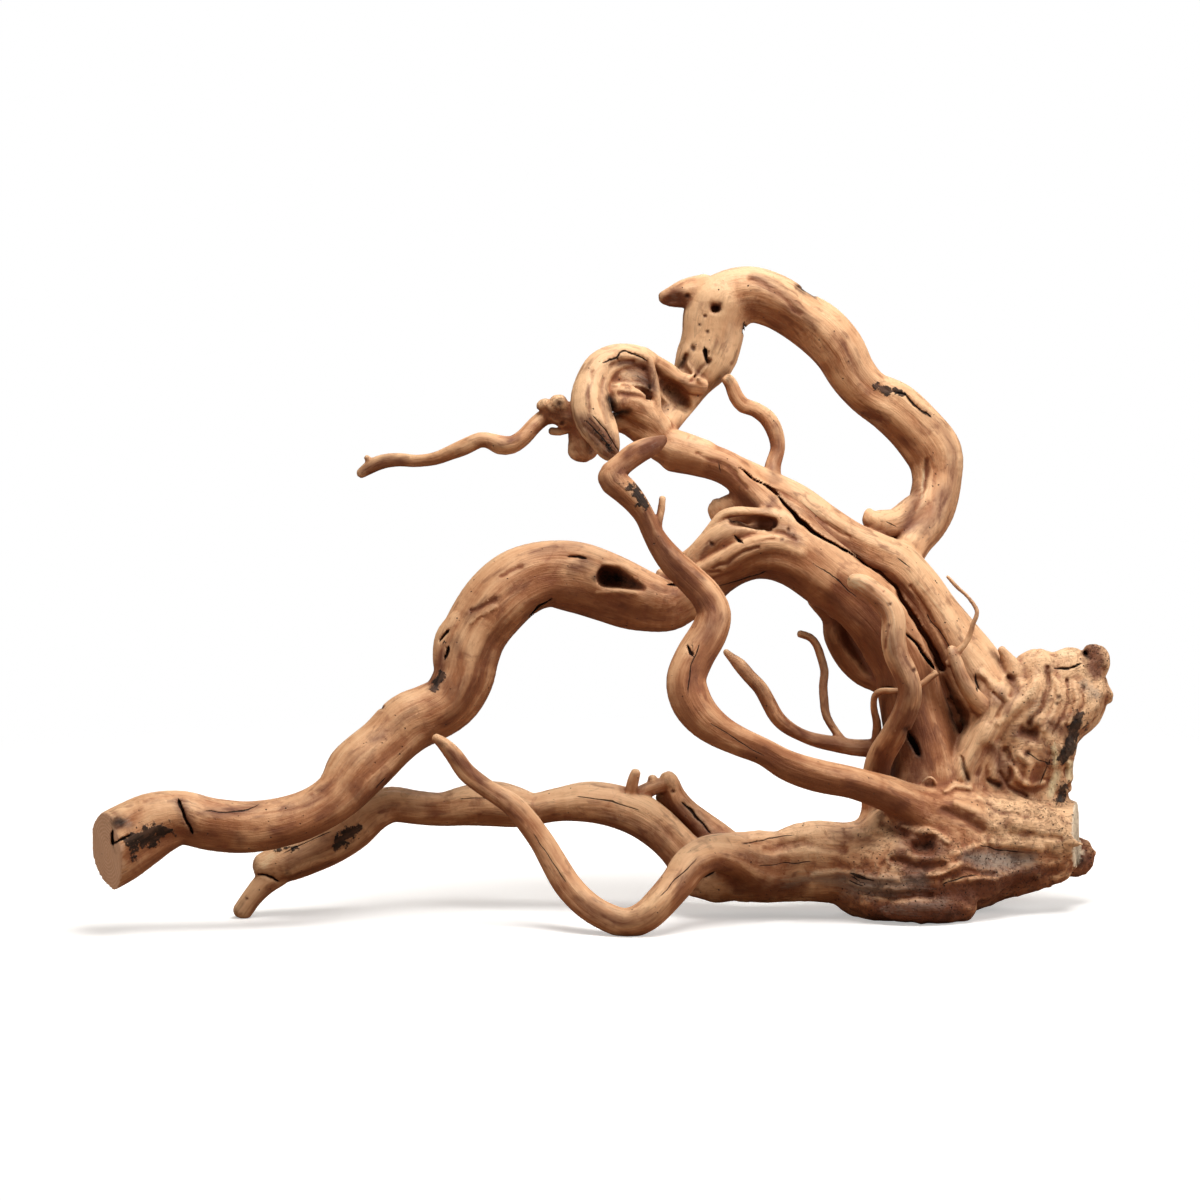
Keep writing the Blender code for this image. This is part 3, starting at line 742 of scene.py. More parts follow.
    def surface(self) -> tuple[np.ndarray, np.ndarray]:
        """Lay a skin of quads through the surface.

        Returns:
            The skin's points in millimetres, and its quads.
        """
        dense = self.dense
        dense.ravel()[self.where] = self.values
        inside = dense < 0
        count = np.zeros(self.size - 1, np.uint8)
        for corner in range(8):
            count += inside[tuple(slice(1, None) if (corner >> axis) & 1 else slice(0, -1)
                                  for axis in range(3))]
        mixed = (count > 0) & (count < 8)
        cells = np.argwhere(mixed).astype(np.int32)
        number = np.full(mixed.shape, -1, np.int32)
        number[mixed] = np.arange(len(cells), dtype=np.int32)
        total = np.zeros((len(cells), 3), np.float32)
        crossings = np.zeros(len(cells), np.float32)
        corner_value = {}
        for corner in range(8):
            step = np.array([(corner >> axis) & 1 for axis in range(3)], np.int32)
            place = cells + step
            corner_value[tuple(step)] = dense[place[:, 0], place[:, 1], place[:, 2]]
        for axis in range(3):
            for first in corner_value:
                if first[axis]:
                    continue
                second = tuple(1 if other == axis else first[other] for other in range(3))
                here, there = corner_value[first], corner_value[second]
                crosses = (here < 0) != (there < 0)
                t = np.where(crosses, here / np.where(crosses, here - there, 1.0), 0.0)
                spot = np.tile(np.array(first, np.float32), (len(cells), 1))
                spot[:, axis] = t
                total += np.where(crosses[:, None], spot, 0.0)
                crossings += crosses
        points = (cells + total / crossings[:, None]) * np.float32(FINE_CELL) + self.low
        quads = []
        for axis in range(3):
            one, two = [other for other in range(3) if other != axis]
            if axis == 1:
                one, two = two, one
            here = inside[tuple(slice(0, -1) if other == axis else slice(1, -1) for other in range(3))]
            there = inside[tuple(slice(1, None) if other == axis else slice(1, -1) for other in range(3))]
            place = np.argwhere(here != there)
            for other in (one, two):
                place[:, other] += 1
            leaving = here[here != there]
            ring = []
            for back_one, back_two in ((1, 1), (0, 1), (0, 0), (1, 0)):
                spot = place.copy()
                spot[:, one] -= back_one
                spot[:, two] -= back_two
                ring.append(number[spot[:, 0], spot[:, 1], spot[:, 2]])
            ring = np.column_stack(ring)
            ring[~leaving] = ring[~leaving][:, ::-1]
            quads.append(ring)
        return points, np.vstack(quads)


@dataclass(frozen=True)
class Cleft:
    """A deep crack between two strands: its path, its reach into the drawing, its narrowing, its box."""

    path: Path
    front: float
    back: float
    taper: float
    low: tuple[float, float, float] = (70.0, -58.0, -60.0)
    high: tuple[float, float, float] = (222.0, 400.0, 25.0)

    def cut(self, values: np.ndarray, points: np.ndarray, drawn: np.ndarray) -> np.ndarray:
        """Cut the crack.

        Args:
            values: distances to the wood's surface.
            points: the points themselves, not used here.
            drawn: the points on the drawing.

        Returns:
            The new distances.
        """
        stroke = Stroke(Mark(CRACK, "", self.path), np.array(self.path, np.float32), self.front, self.back)
        near = np.flatnonzero(((drawn > self.low) & (drawn < self.high)).all(axis=1))
        gap, half, _, _ = stroke.distance(drawn[near])
        deep = np.clip((drawn[near, 2] - self.front) / (self.back - self.front), 0.0, 1.0)
        inside = np.minimum(half * (1 - (1 - self.taper) * deep) - gap, self.back - drawn[near, 2])
        values[near] = np.maximum(values[near], inside)
        return values


@dataclass(frozen=True)
class LeftArm(Growth):
    """The long arm on the left, from the middle of the arch down to its sawn end."""

    left_arm: Limb = Limb((
        (66, 11, 5, 12), (52, 1.5, 3, 12.5), (40, -2.5, 2, 14.8), (24, 1, 1, 18.3), (5, 8.5, 0, 20.3),
        (-14, 14.5, -1, 21), (-32, 15.5, -3, 20.5), (-48.5, 8.7, -6, 21), (-62.5, -3.5, -9, 21),
        (-73.5, -19, -11, 19.5), (-79.5, -33, -13, 19), (-83, -47, -15, 17.8), (-91, -60.5, -17, 17.2),
        (-103, -68, -20, 17.5), (-115, -74, -24, 18), (-128, -86, -29, 17), (-144, -101, -38, 17.8),
        (-158, -118, -46, 15.1), (-180, -130.7, -53, 14), (-208, -136.6, -59, 14.7),
        (-232, -134.8, -63, 15.3), (-251, -130.3, -66, 16.5), (-266, -133.4, -69, 18.5),
        (-279, -140, -72, 20.3), (-292, -148, -76, 21.6), (-311, -160, -81, 21.6),
    ), grain=Grain.FIRST, tone=-0.35)
    left_arm_knuckle: Limb = Limb((
        (-84, -13, -16, 8), (-91.5, -23, -16, 7.6), (-93, -36, -16, 7), (-89, -47, -17, 7.5),
    ))
    left_arm_bump: Limb = Limb(((-140, -93, -34, 13), (-152, -99, -38, 10.5), (-154, -107, -42, 10)))
    sawn_end: SawCut = SawCut((-296.5, -148, -77), (-0.86, -0.16, -0.48), reach=40)
    marks: tuple[Mark, ...] = (
        *marks_on("left_arm", (
            (CRACK, ((-293, -138, 0.5), (-292, -146, 0.7), (-288, -144, 0.6), (-282, -141, 0.5)), 2.5),
            (PIT, ((-290, -133.5, 5),), 1.6),
            (GREY, ((-288.5, -133, 3.4), (-283.5, -134, 3)), 0, 0.7),
            (STAIN, ((-290, -133, 5), (-284, -135, 4)), 0, 0.6),
            (BARK, ((-280, -143, 3.4), (-272, -140, 4.6), (-262, -138.5, 4), (-258, -138.5, 2)), -0.3),
            (BARK, ((-280, -147, 3), (-280, -154, 1.8)), 0, 0.9),
            (BARK, ((-275, -145, 3.6), (-266, -141.5, 3.4)), 0, 0.9),
            (CRACK, ((-252, -121, 0.8), (-249, -130, 1), (-245, -139, 0.7)), 3),
            (STAIN, ((-252, -122, 3), (-248, -131, 4), (-245, -139, 3)), 0, 0.8),
            (CRACK, ((-237, -127, 0.22), (-225, -127.5, 0.37), (-212, -126, 0.37), (-205, -123, 0.19)), 0,
             0.8),
            (STAIN, ((-240, -128, 2), (-222, -127.5, 3), (-205, -123.5, 2)), 0, 0.7),
            (STAIN, ((-221, -138, 4), (-216, -144, 4)), 0, 0.6),
            (STAIN, ((-197, -139, 3.4), (-191, -141.5, 3.4)), 0, 0.6),
            (STAIN, ((-232, -139, 5), (-243, -142, 4)), 0, 0.45),
            (STAIN, ((-149, -112, 6), (-141, -122, 7), (-128, -108, 5)), 0, 0.55),
            (CRACK, ((-134, -113, 0.25), (-129, -107, 0.37)), 0, 0.8),
            (PIT, ((-131, -64, 2.2),), 1.4),
            (DARK, ((-131, -64, 2),), 0, 0.8),
            (CRACK, ((-95, -24, 0.5), (-91, -19, 0.8)), 2),
            (CRACK, ((-93, -35, 0.5), (-90.5, -29, 0.8)), 2.2),
            (BARK, ((-98.5, -50, 2.2), (-95.5, -45, 2.4), (-100, -53.5, 1.6)), -0.5),
            (STAIN, ((-100, -52, 4), (-96, -42, 4), (-93, -30, 3)), 0, 0.7),
            (GROOVE, ((-77, -7, 2), (-63, 0, 2.6)), 1.5, 0.9),
            (STAIN, ((-80, -9, 3.4), (-62, 0.5, 3.4)), 0, 0.7),
            (RIDGE, ((-78, -13, 1.8), (-62, -4, 2)), -0.8, 0.9),
            (GROOVE, ((-60, 14, 1.6), (-47, 20, 2)), 1.1, 0.8),
            (STAIN, ((-62, 13, 2.4), (-45, 20.5, 2.6)), 0, 0.5),
            (CRACK, ((-42, -9, 0.5), (-38, -4, 0.8), (-30, 1, 0.5)), 1.8, 0.9),
            (STAIN, ((-44, -9, 2), (-30, 1, 2.5)), 0, 0.6),
            (CRACK, ((-18, 26.5, 0.5), (-9, 25, 0.8)), 1.8, 0.9),
            (STAIN, ((-16, 19, 3), (-8, 22.5, 3.4)), 0, 0.8),
            (STAIN, ((-87, -25, 4), (-83, -33, 3)), 0, 0.55),
            (STAIN, ((-68, -35, 4), (-66, -27, 3)), 0, 0.5),
            (STAIN, ((-10, -7, 5), (2, -7, 4), (14, -5, 5)), 0, 0.55),
            (STAIN, ((-40, 28, 3), (-26, 31, 4), (-12, 33, 3)), 0, 0.45),
            (STAIN, ((-76, -48, 3), (-80, -58, 5), (-92, -72, 4)), 0, 0.5),
            (STAIN, ((-112, -66, 3), (-122, -73, 3), (-136, -84, 3)), 0, 0.5),
            (STAIN, ((-165, -114, 4), (-176, -122, 4), (-190, -125, 3)), 0, 0.5),
            (CRACK, ((41, 9, 0.4), (47, 8, 0.7)), 1.4, 0.9),
            (STAIN, ((28, 3, 3), (40, 6, 4), (52, 2, 3)), 0, 0.5),
            (STAIN, ((24, -8, 4), (40, -10, 3)), 0, 0.45),
            (DARK, ((3, 14, 5.4), (9, 13.4, 5.2), (17, 10.6, 3), (25, 7.4, 1)), 0, 0.9),
            (RIDGE, ((-2, 4, 2), (10, 5, 3), (22, 3, 2)), -1, 0.2),
            (RIDGE, ((2, 22, 2), (12, 21.5, 2.6), (22, 16, 2)), -0.9, 0.3),
            (STAIN, ((-3, 13, 3), (2, 20, 2)), 0, 0.6),
            (STAIN, ((-92, -48, 4), (-88, -60, 5), (-82, -50, 4)), 0, 0.5),
            (STAIN, ((-58, -12, 4), (-64, -24, 5), (-74, -42, 4)), 0, 0.45),
            (STAIN, ((-30, 10, 4), (-20, 6, 5), (-6, 4, 4)), 0, 0.3),
            (STAIN, ((-54, 4, 3), (-46, 6, 3)), 0, 0.5),
            (STAIN, ((-140, -90, 3), (-150, -98, 4)), 0, 0.4),
            (STAIN, ((-168, -128, 4), (-156, -120, 4)), 0, 0.5),
        )),
    )


@dataclass(frozen=True)
class Arch(Growth):
    """The arch that joins the left arm to the trunk, with its folds and its hollow."""

    arch: Limb = Limb((
        (52, 1.5, 3, 12.5), (62, 9, 4, 12), (71, 15, 4, 12.6), (81, 22, 3, 14), (94, 28.5, 1, 16.8),
        (108, 29.5, 0, 18.6), (122, 24, 0, 18.6), (136, 14, 0, 17.8),
    ), grain=Grain.SECOND, tone=-0.2)
    arch_back_knot: Limb = Limb(((37, 14, 9, 4.6), (45, 15, 9, 6.5), (56, 17, 7, 8)))
    arch_upper_fold: Limb = Limb((
        (54, 20, -2, 6), (64, 31, -5, 8), (77, 39.5, -7, 8.5), (91, 41, -7, 7), (104, 39, -6, 7),
    ), tone=0)
    arch_lower_fold: Limb = Limb((
        (60, 17, -8, 6), (75, 24, -11, 7), (90, 31, -13, 7), (105, 33, -14, 7), (118, 29, -11, 9),
    ), tone=0.1)
    arch_rim: Limb = Limb((
        (46, 21.5, 4, 5), (53, 27.5, -1, 3.6), (60, 34.5, -4, 3.2), (67, 43.5, -6, 3), (73, 50.5, -7, 3),
        (81, 53, -8, 3), (91, 52.5, -8, 3), (101, 51, -8, 3.4), (109, 48, -7, 4.6), (116, 42, -5, 8),
    ), tone=0.1)
    arch_back_lobe: Limb = Limb((
        (97, 52, 14, 13), (88, 53, 18, 13), (80, 52.5, 20, 12), (73.5, 53, 20.5, 8.6), (70.5, 55.5, 21, 6.4),
    ), tone=-0.2)
    hollow_knot: Limb = Limb(((5, 9, -3, 4), (8, 12, -6, 4.2), (12, 10, -8, 3)), burl=1)
    arch_hollow: Hollow = Hollow(
        ((3, 14, -17, 6.4), (9, 13, -17, 6.2), (17, 10.2, -17, 4), (26, 6.8, -18, 1.6)),
        depth=2.2)
    fold_recess: Hollow = Hollow(
        ((79, 47, -13, 2), (88, 46.7, -10, 3.4), (97, 46, -9, 4.4), (104, 46, -10, 3)),
        depth=2.2)
    marks: tuple[Mark, ...] = (
        *marks_on("arch_upper_fold", (
            (PIT, ((79, 47.5, 2),), 1.2),
            (CRACK, ((81.5, 38, 0.5), (84.5, 35, 0.9)), 1.6),
            (PIT, ((67.5, 33, 1.8),), 1.3),
        )),
        *marks_on("arch_lower_fold", (
            (GROOVE, ((67, 19, 1.2), (76, 22, 1.6), (88, 30, 1.6), (95, 32, 1.2)), 1.2, 0.9),
        )),
        *marks_on("arch", (
            (GROOVE, ((64, 17, 1), (72, 17, 1.4)), 1, 0.8),
            (CRACK, ((72, 8, 0.25), (86, 13, 0.37), (100, 17, 0.25)), 0, 0.7),
            (STAIN, ((60, 6, 3), (72, 6, 4), (84, 9, 4)), 0, 0.5),
            (STAIN, ((92, 14, 4), (108, 13, 5), (120, 9, 4)), 0, 0.45),
        )),
        *marks_on("arch_upper_fold", (
            (STAIN, ((60, 27, 2.5), (70, 37, 3), (84, 44, 3)), 0, 0.5),
        )),
        *marks_on("arch_back_lobe", (
            (STAIN, ((84, 58, 5), (78, 52, 4)), 0, 0.35),
        )),
        *marks_on("arch_upper_fold", (
            (PIT, ((113, 42, 1.6),), 1.5),
            (PIT, ((109, 37, 1.3),), 1.2),
            (GROOVE, ((100, 42, 1.5), (110, 40, 2), (117, 36, 1.6)), 1.4, 0.9),
        )),
        *marks_on("arch_lower_fold", (
            (RIDGE, ((93, 36, 1.4), (103, 38, 1.6), (113, 36, 1.4)), -0.7, 0.6),
        )),
        *marks_on("arch_upper_fold", (
            (STAIN, ((102, 44, 3), (112, 40, 4), (118, 34, 3)), 0, 0.6),
            (DARK, ((82, 47.6, 1.6), (90, 47, 3), (98, 46, 3.6), (104, 45, 2.4)), 0, 0.9),
            (STAIN, ((76, 44, 3), (86, 42, 3)), 0, 0.4),
        )),
    )


@dataclass(frozen=True)
class Trunk(Growth):
    """The trunk: two strands with the deep crack between them, and the flap on its left."""

    trunk_lower: Limb = Limb((
        (45, 88.3, 17, 11.4), (59, 85, 15, 10.4), (72, 81, 13, 9.9), (82, 75, 11, 9.5), (91, 65.5, 8, 9.3),
        (103, 53, 6, 11.5), (115, 39, 3, 15.5), (124, 26, 1, 18), (136, 15, 0, 18.5), (149, 5, 0, 19),
        (164, -9, 0, 20), (175, -24, 0, 19), (183, -40, 0, 18.5), (187, -60, 1, 19), (192, -80, 2, 21),
        (196, -100, 2, 24), (197, -122, 2, 27),
    ), grain=Grain.THIRD, tone=-0.75)
    trunk_upper: Limb = Limb((
        (60, 85, 17, 9), (74, 80.5, 18, 9), (88, 73.5, 19, 9.6), (102, 67, 20, 9.6), (118, 57.2, 20, 11.2),
        (134, 43.3, 19, 13.4), (149, 33.3, 19, 14.2), (164, 26.5, 19, 15), (178, 20, 19, 16),
        (188, 9, 18, 16.4), (200, -7, 16, 16.2), (212, -27, 14, 17.4), (224, -46, 12, 20),
        (232, -62, 10, 20),
    ), grain=Grain.FIRST, tone=0.35)
    trunk_core: Limb = Limb((
        (100, 66, 21, 8), (118, 51, 21, 10), (136, 38, 21, 12), (160, 23, 21, 13), (180, 2, 20, 14),
        (196, -22, 18, 14), (207, -46, 18, 14), (212, -66, 20, 15), (212, -86, 20, 16),
    ), tone=-0.8)
    trunk_flap: Limb = Limb((
        (133, 2, 12, 9), (140, -10, 16, 7), (141.8, -22, 17, 7), (149.4, -35, 17, 7.3),
        (158, -45, 15, 6.4), (168, -50, 11, 6.3), (178, -56, 6, 9),
    ), grain=Grain.SECOND, tone=-0.5)
    trunk_flap_root: Limb = Limb((
        (144, -6, 18, 8), (152, -18, 19, 8), (160, -32, 18, 8), (172, -46, 12, 9),
    ), tone=-0.5)
    cleft: Cleft = Cleft((
        (84, 78.5, 0.7), (92, 73, 1), (100, 68, 1.2), (107, 62, 1.4), (113, 55, 1.6), (119, 48, 1.8),
        (127, 41.5, 1.7), (136, 36.3, 1.2), (147, 29.5, 1), (158, 22.5, 1.2), (168, 16.5, 1.7), (177, 8, 2.2),
        (183, -2, 2.6), (189, -12, 2.8), (195, -21, 3), (200, -31, 3.4), (205, -41, 3.6),
    ), front=-24, back=12, taper=0.45)
    flap_hollow: Hollow = Hollow(((141, -13, -2, 2.6), (147, -22, 1, 4.4), (154, -33, 3, 3.4)), depth=2)
    marks: tuple[Mark, ...] = (
        *marks_on("trunk_upper", (
            (CRACK, ((136, 36, 0.19), (146, 30.5, 0.31), (157, 25, 0.19)), 0, 0.9),
            (CRACK, ((183, -20, 0.4), (190, -27, 0.9), (195, -34, 1), (200, -41, 0.7)), 2.6),
            (CRACK, ((178, 25, 0.19), (185, 20, 0.37)), 0, 0.9),
        )),
        *marks_on("trunk_lower", (
            (CRACK, ((186, -82, 1), (190, -91, 1.5)), 3),
        )),
        *marks_on("trunk_flap", (
            (CRACK, ((170, -52, 0.4), (179, -55, 0.7)), 1.6, 0.9),
        )),
        *marks_on("trunk_lower", (
            (CRACK, ((71, 82, 0.19), (72, 77, 0.31)), 0, 0.9),
            (CRACK, ((128, 22, 0.19), (142, 12, 0.37), (154, 2, 0.19)), 0, 0.7),
        )),
        *marks_on("trunk_upper", (
            (CRACK, ((196, -8, 0.19), (206, -22, 0.37), (214, -36, 0.25)), 0, 0.7),
            (GROOVE, ((100, 68, 1.6), (118, 60, 2), (134, 47, 2), (150, 38, 1.6)), 0.8, 0.4),
            (GROOVE, ((186, 8, 2), (200, -12, 2.4), (210, -32, 2)), 1, 0.5),
        )),
        *marks_on("trunk_lower", (
            (GROOVE, ((58, 88, 2), (76, 80, 2), (88, 68, 1.8)), 0.8, 0.5),
            (STAIN, ((88, 64, 3), (100, 52, 4), (112, 38, 4)), 0, 0.4),
            (STAIN, ((158, -2, 6), (170, -22, 7), (178, -44, 7)), 0, 0.5),
            (STAIN, ((184, -60, 8), (190, -84, 9), (190, -104, 8)), 0, 0.8),
            (STAIN, ((140, 2, 5), (156, -12, 6), (168, -34, 5)), 0, 0.5),
        )),
        *marks_on("trunk_upper", (
            (STAIN, ((205, -30, 4), (213, -44, 5), (220, -52, 4)), 0, 0.5),
            (STAIN, ((176, 14, 3), (186, 2, 3.4), (196, -14, 3)), 0, 0.4),
            (STAIN, ((104, 66, 2.5), (126, 50, 3), (150, 30, 3), (172, 18, 3)), 0, 0.45),
            (FRESH, ((112, 64, 3), (130, 52, 4), (146, 41, 3)), 0, 0.35),
            (FRESH, ((182, 22, 3), (196, 4, 4), (208, -14, 3)), 0, 0.35),
        )),
        *marks_on("trunk_lower", (
            (FRESH, ((98, 53, 3), (110, 42, 4), (118, 31, 3)), 0, 0.25),
        )),
        *marks_on("trunk_flap", (
            # Painted shade inside the flap's hollow
            (STAIN, ((141, -12, 2), (147, -22, 3.6), (153, -32, 2.6)), 0, 0.9),
        )),
        *marks_on("trunk_lower", (
            (DARK, ((184, -78, 2), (188, -86, 3.2), (191, -93, 2)), 1.5, 0.9),
            (STAIN, ((100, 54, 2.4), (104, 60, 2.4)), 0, 0.7),
        )),
    )


@dataclass(frozen=True)
class Head(Growth):
    """The upper left: the neck, the top loop that comes back to the trunk, and the saddle."""

    left_head: Limb = Limb((
        (10, 107, 13, 6), (18, 106, 15, 8), (28, 100.5, 17, 10), (37, 93.3, 18, 11), (49, 88.3, 17, 11.6),
        (62, 85, 15, 10.5),
    ), grain=Grain.SECOND, tone=0.25)
    neck: Limb = Limb((
        (33, 99, 20, 9), (39, 108, 27, 9.5), (46.3, 119, 33, 10.8), (55.4, 132, 37, 12.6),
        (63.2, 146.5, 39, 17.4), (67.2, 157, 40, 17.5), (69, 168, 40, 18), (72, 178, 40, 19.5),
    ), grain=Grain.FIRST, tone=1.3)
    top_loop: Limb = Limb((
        (66, 160, 40, 17), (68, 172, 40, 18), (76, 181, 39, 17.5), (90, 184, 40, 16.5),
        (104, 180.5, 42, 16.2), (118.5, 171.3, 46, 15.4), (131.5, 162, 50, 16.2), (142, 149.8, 54, 15.6),
        (150.2, 135.8, 58, 14.4), (161, 124.2, 62, 13.6), (176, 115, 66, 15.8), (190.5, 102, 69, 16.3),
        (200.8, 88, 70, 17), (202.2, 73, 67, 15), (200, 59, 61, 14.3), (196, 47, 53, 12.2),
        (188, 36, 42, 11.6), (180, 22, 28, 11),
    ), grain=Grain.SECOND, tone=0.2)
    top_stub: Limb = Limb((
        (62, 185, 38, 10.6), (52, 184.4, 36, 8.8), (43, 182.3, 34, 6), (38, 181.8, 33, 3.8),
    ), grain=Grain.THIRD, tone=-0.1)
    saddle: Limb = Limb((
        (200, 62, 60, 9), (189, 54, 50, 9.5), (178, 47, 38, 8.5), (168, 46, 30, 8), (162.5, 48, 26, 5.5),
        (161.5, 53, 26, 2.6),
    ), grain=Grain.THIRD, tone=0.1)
    neck_roll: Limb = Limb((
        (26, 148, 15, 3.2), (33, 142.8, 18, 4), (40, 137.8, 21, 5), (47.5, 132, 23, 5.2),
        (55, 129.5, 24, 5.4), (61, 128.5, 26, 4.8),
    ), grain=Grain.THIRD)
    neck_strand: Limb = Limb((
        (29, 144, 13, 2.6), (32.5, 132, 11, 2.6), (34, 121, 10, 2.6), (34.5, 112, 11, 2.8),
        (39, 105, 15, 3.5),
    ))
    loop_hole: Hollow = Hollow(((68.5, 175, 21, 2.4), (70.5, 175, 21, 2.2)), depth=3, rim=3)
    neck_trough: Hollow = Hollow(
        ((38, 130, 16, 4), (44, 125, 19, 6), (50, 119, 22, 5.4), (53, 114, 24, 3)),
        depth=1.3)
    marks: tuple[Mark, ...] = (
        *marks_on("neck", (
            (CRACK, ((63.4, 144, 0.9), (63, 149.5, 1.4)), 4),
            (GROOVE, ((50, 139, 2.6), (51.5, 146, 2)), 3),
            (PIT, ((56, 151, 2.4),), 1.8),
            (GROOVE, ((55, 131, 1.8), (60, 138, 2.2), (66, 144, 1.6)), 1.6, 0.8),
            (RIDGE, ((58, 133, 1.6), (63, 139, 1.8)), -1, 0.6),
        )),
        *marks_on("top_stub", (
            (PIT, ((52.5, 182, 2),), 2),
        )),
        *marks_on("neck", (
            (PIT, ((63, 170, 1.4),), 1.4),
            (PIT, ((64, 161, 1.3),), 1.4),
            (PIT, ((60, 165, 1.1),), 1.2),
            (STAIN, ((66, 152, 4), (76, 158, 4), (80, 166, 3)), 0, 0.35),
            (STAIN, ((44, 120, 4), (52, 128, 5)), 0, 0.5),
        )),
        *marks_on("top_loop", (
            (DARK, ((119, 188, 1.8), (124, 185.5, 2.6), (129, 182, 1.8)), 1.2),
            (BARK, ((166.5, 129, 1.8), (170.5, 126.8, 3), (175, 124.6, 2)), 0.6),
            (BARK, ((176, 125, 1.6), (182, 123, 1.8)), 0.3, 0.9),
            (CRACK, ((177, 124, 0.4), (183, 123, 0.6), (188, 117, 0.7), (196, 112, 0.5), (198, 110, 0.3)),
             1.4, 0.9),
            (GROOVE, ((90, 192, 2.6), (106, 185, 3), (120, 172, 2.6)), 1.2, 0.6),
            (STAIN, ((92, 193, 3.6), (106, 186, 4.4), (120, 172, 4), (130, 164, 3)), 0, 0.65),
            (STAIN, ((84, 178, 3), (98, 172, 3.4), (110, 164, 3)), 0, 0.45),
            (STAIN, ((140, 160, 3), (150, 146, 4), (156, 133, 3)), 0, 0.4),
            (GROOVE, ((158, 112, 2.4), (168, 108, 2.4)), 1.2, 0.8),
            (STAIN, ((158, 112, 3.6), (170, 107, 3.6)), 0, 0.6),
            (STAIN, ((190, 66, 4), (188, 54, 4), (184, 44, 4)), 0, 0.75),
            (STAIN, ((206, 104, 4), (212, 88, 4), (212, 70, 4)), 0, 0.45),
            (STAIN, ((194, 114, 3), (203, 104, 3.4)), 0, 0.45),
            (GROOVE, ((196, 84, 1.8), (194.5, 68, 2), (190, 54, 1.8)), 1.3, 0.8),
            (RIDGE, ((199, 78, 1.6), (198, 60, 1.6)), -0.6, 0.4),
            (FRESH, ((194, 78, 1.5), (193, 60, 1.5)), 0, 0.5),
        )),
        *marks_on("top_stub", (
            (STAIN, ((41, 181, 5), (46.5, 181, 6))),
            (GREY, ((44, 181, 4),), 0, 0.35),
            (GROOVE, ((41.5, 181, 4), (46.5, 181, 4.6)), 1.8, 0.3),
        )),
        *marks_on("saddle", (
            (CRACK, ((172, 46.5, 0.19), (177, 44, 0.37)), 0, 0.9),
            (STAIN, ((186, 44, 4), (192, 54, 4)), 0, 0.6),
        )),
        *marks_on("neck", (
            (DARK, ((47, 139, 1.6), (50, 144, 2.6)), 0, 0.8),
        )),
        *marks_on("top_loop", (
            (DARK, ((69.5, 175, 2),), 0, 0.9),
            (STAIN, ((69.5, 175, 3.4),), 0, 0.6),
        )),
        *marks_on("neck", (
            (DARK, ((36, 131, 3), (44, 126, 5), (51, 119, 4)), 0, 0.6),
        )),
        *marks_on("top_loop", (
            # Painted shade on the loop's lower right side
            (STAIN, ((208, 66, 5), (202, 52, 6), (194, 44, 6)), 0, 0.6),
            (STAIN, ((181, 97, 2.4), (187, 94, 3)), 0, 0.7),
        )),
        *marks_on("neck", (
            (CRACK, ((86.5, 167, 0.3), (85.5, 163, 0.6), (85, 160, 0.3)), 1.2),
            (RIDGE, ((52, 142, 1.6), (56, 136, 2), (61, 131, 2)), -1.4, 0.4),
            (STAIN, ((53, 146, 3), (56, 140, 3), (60, 134, 3)), 0, 0.5),
        )),
    )


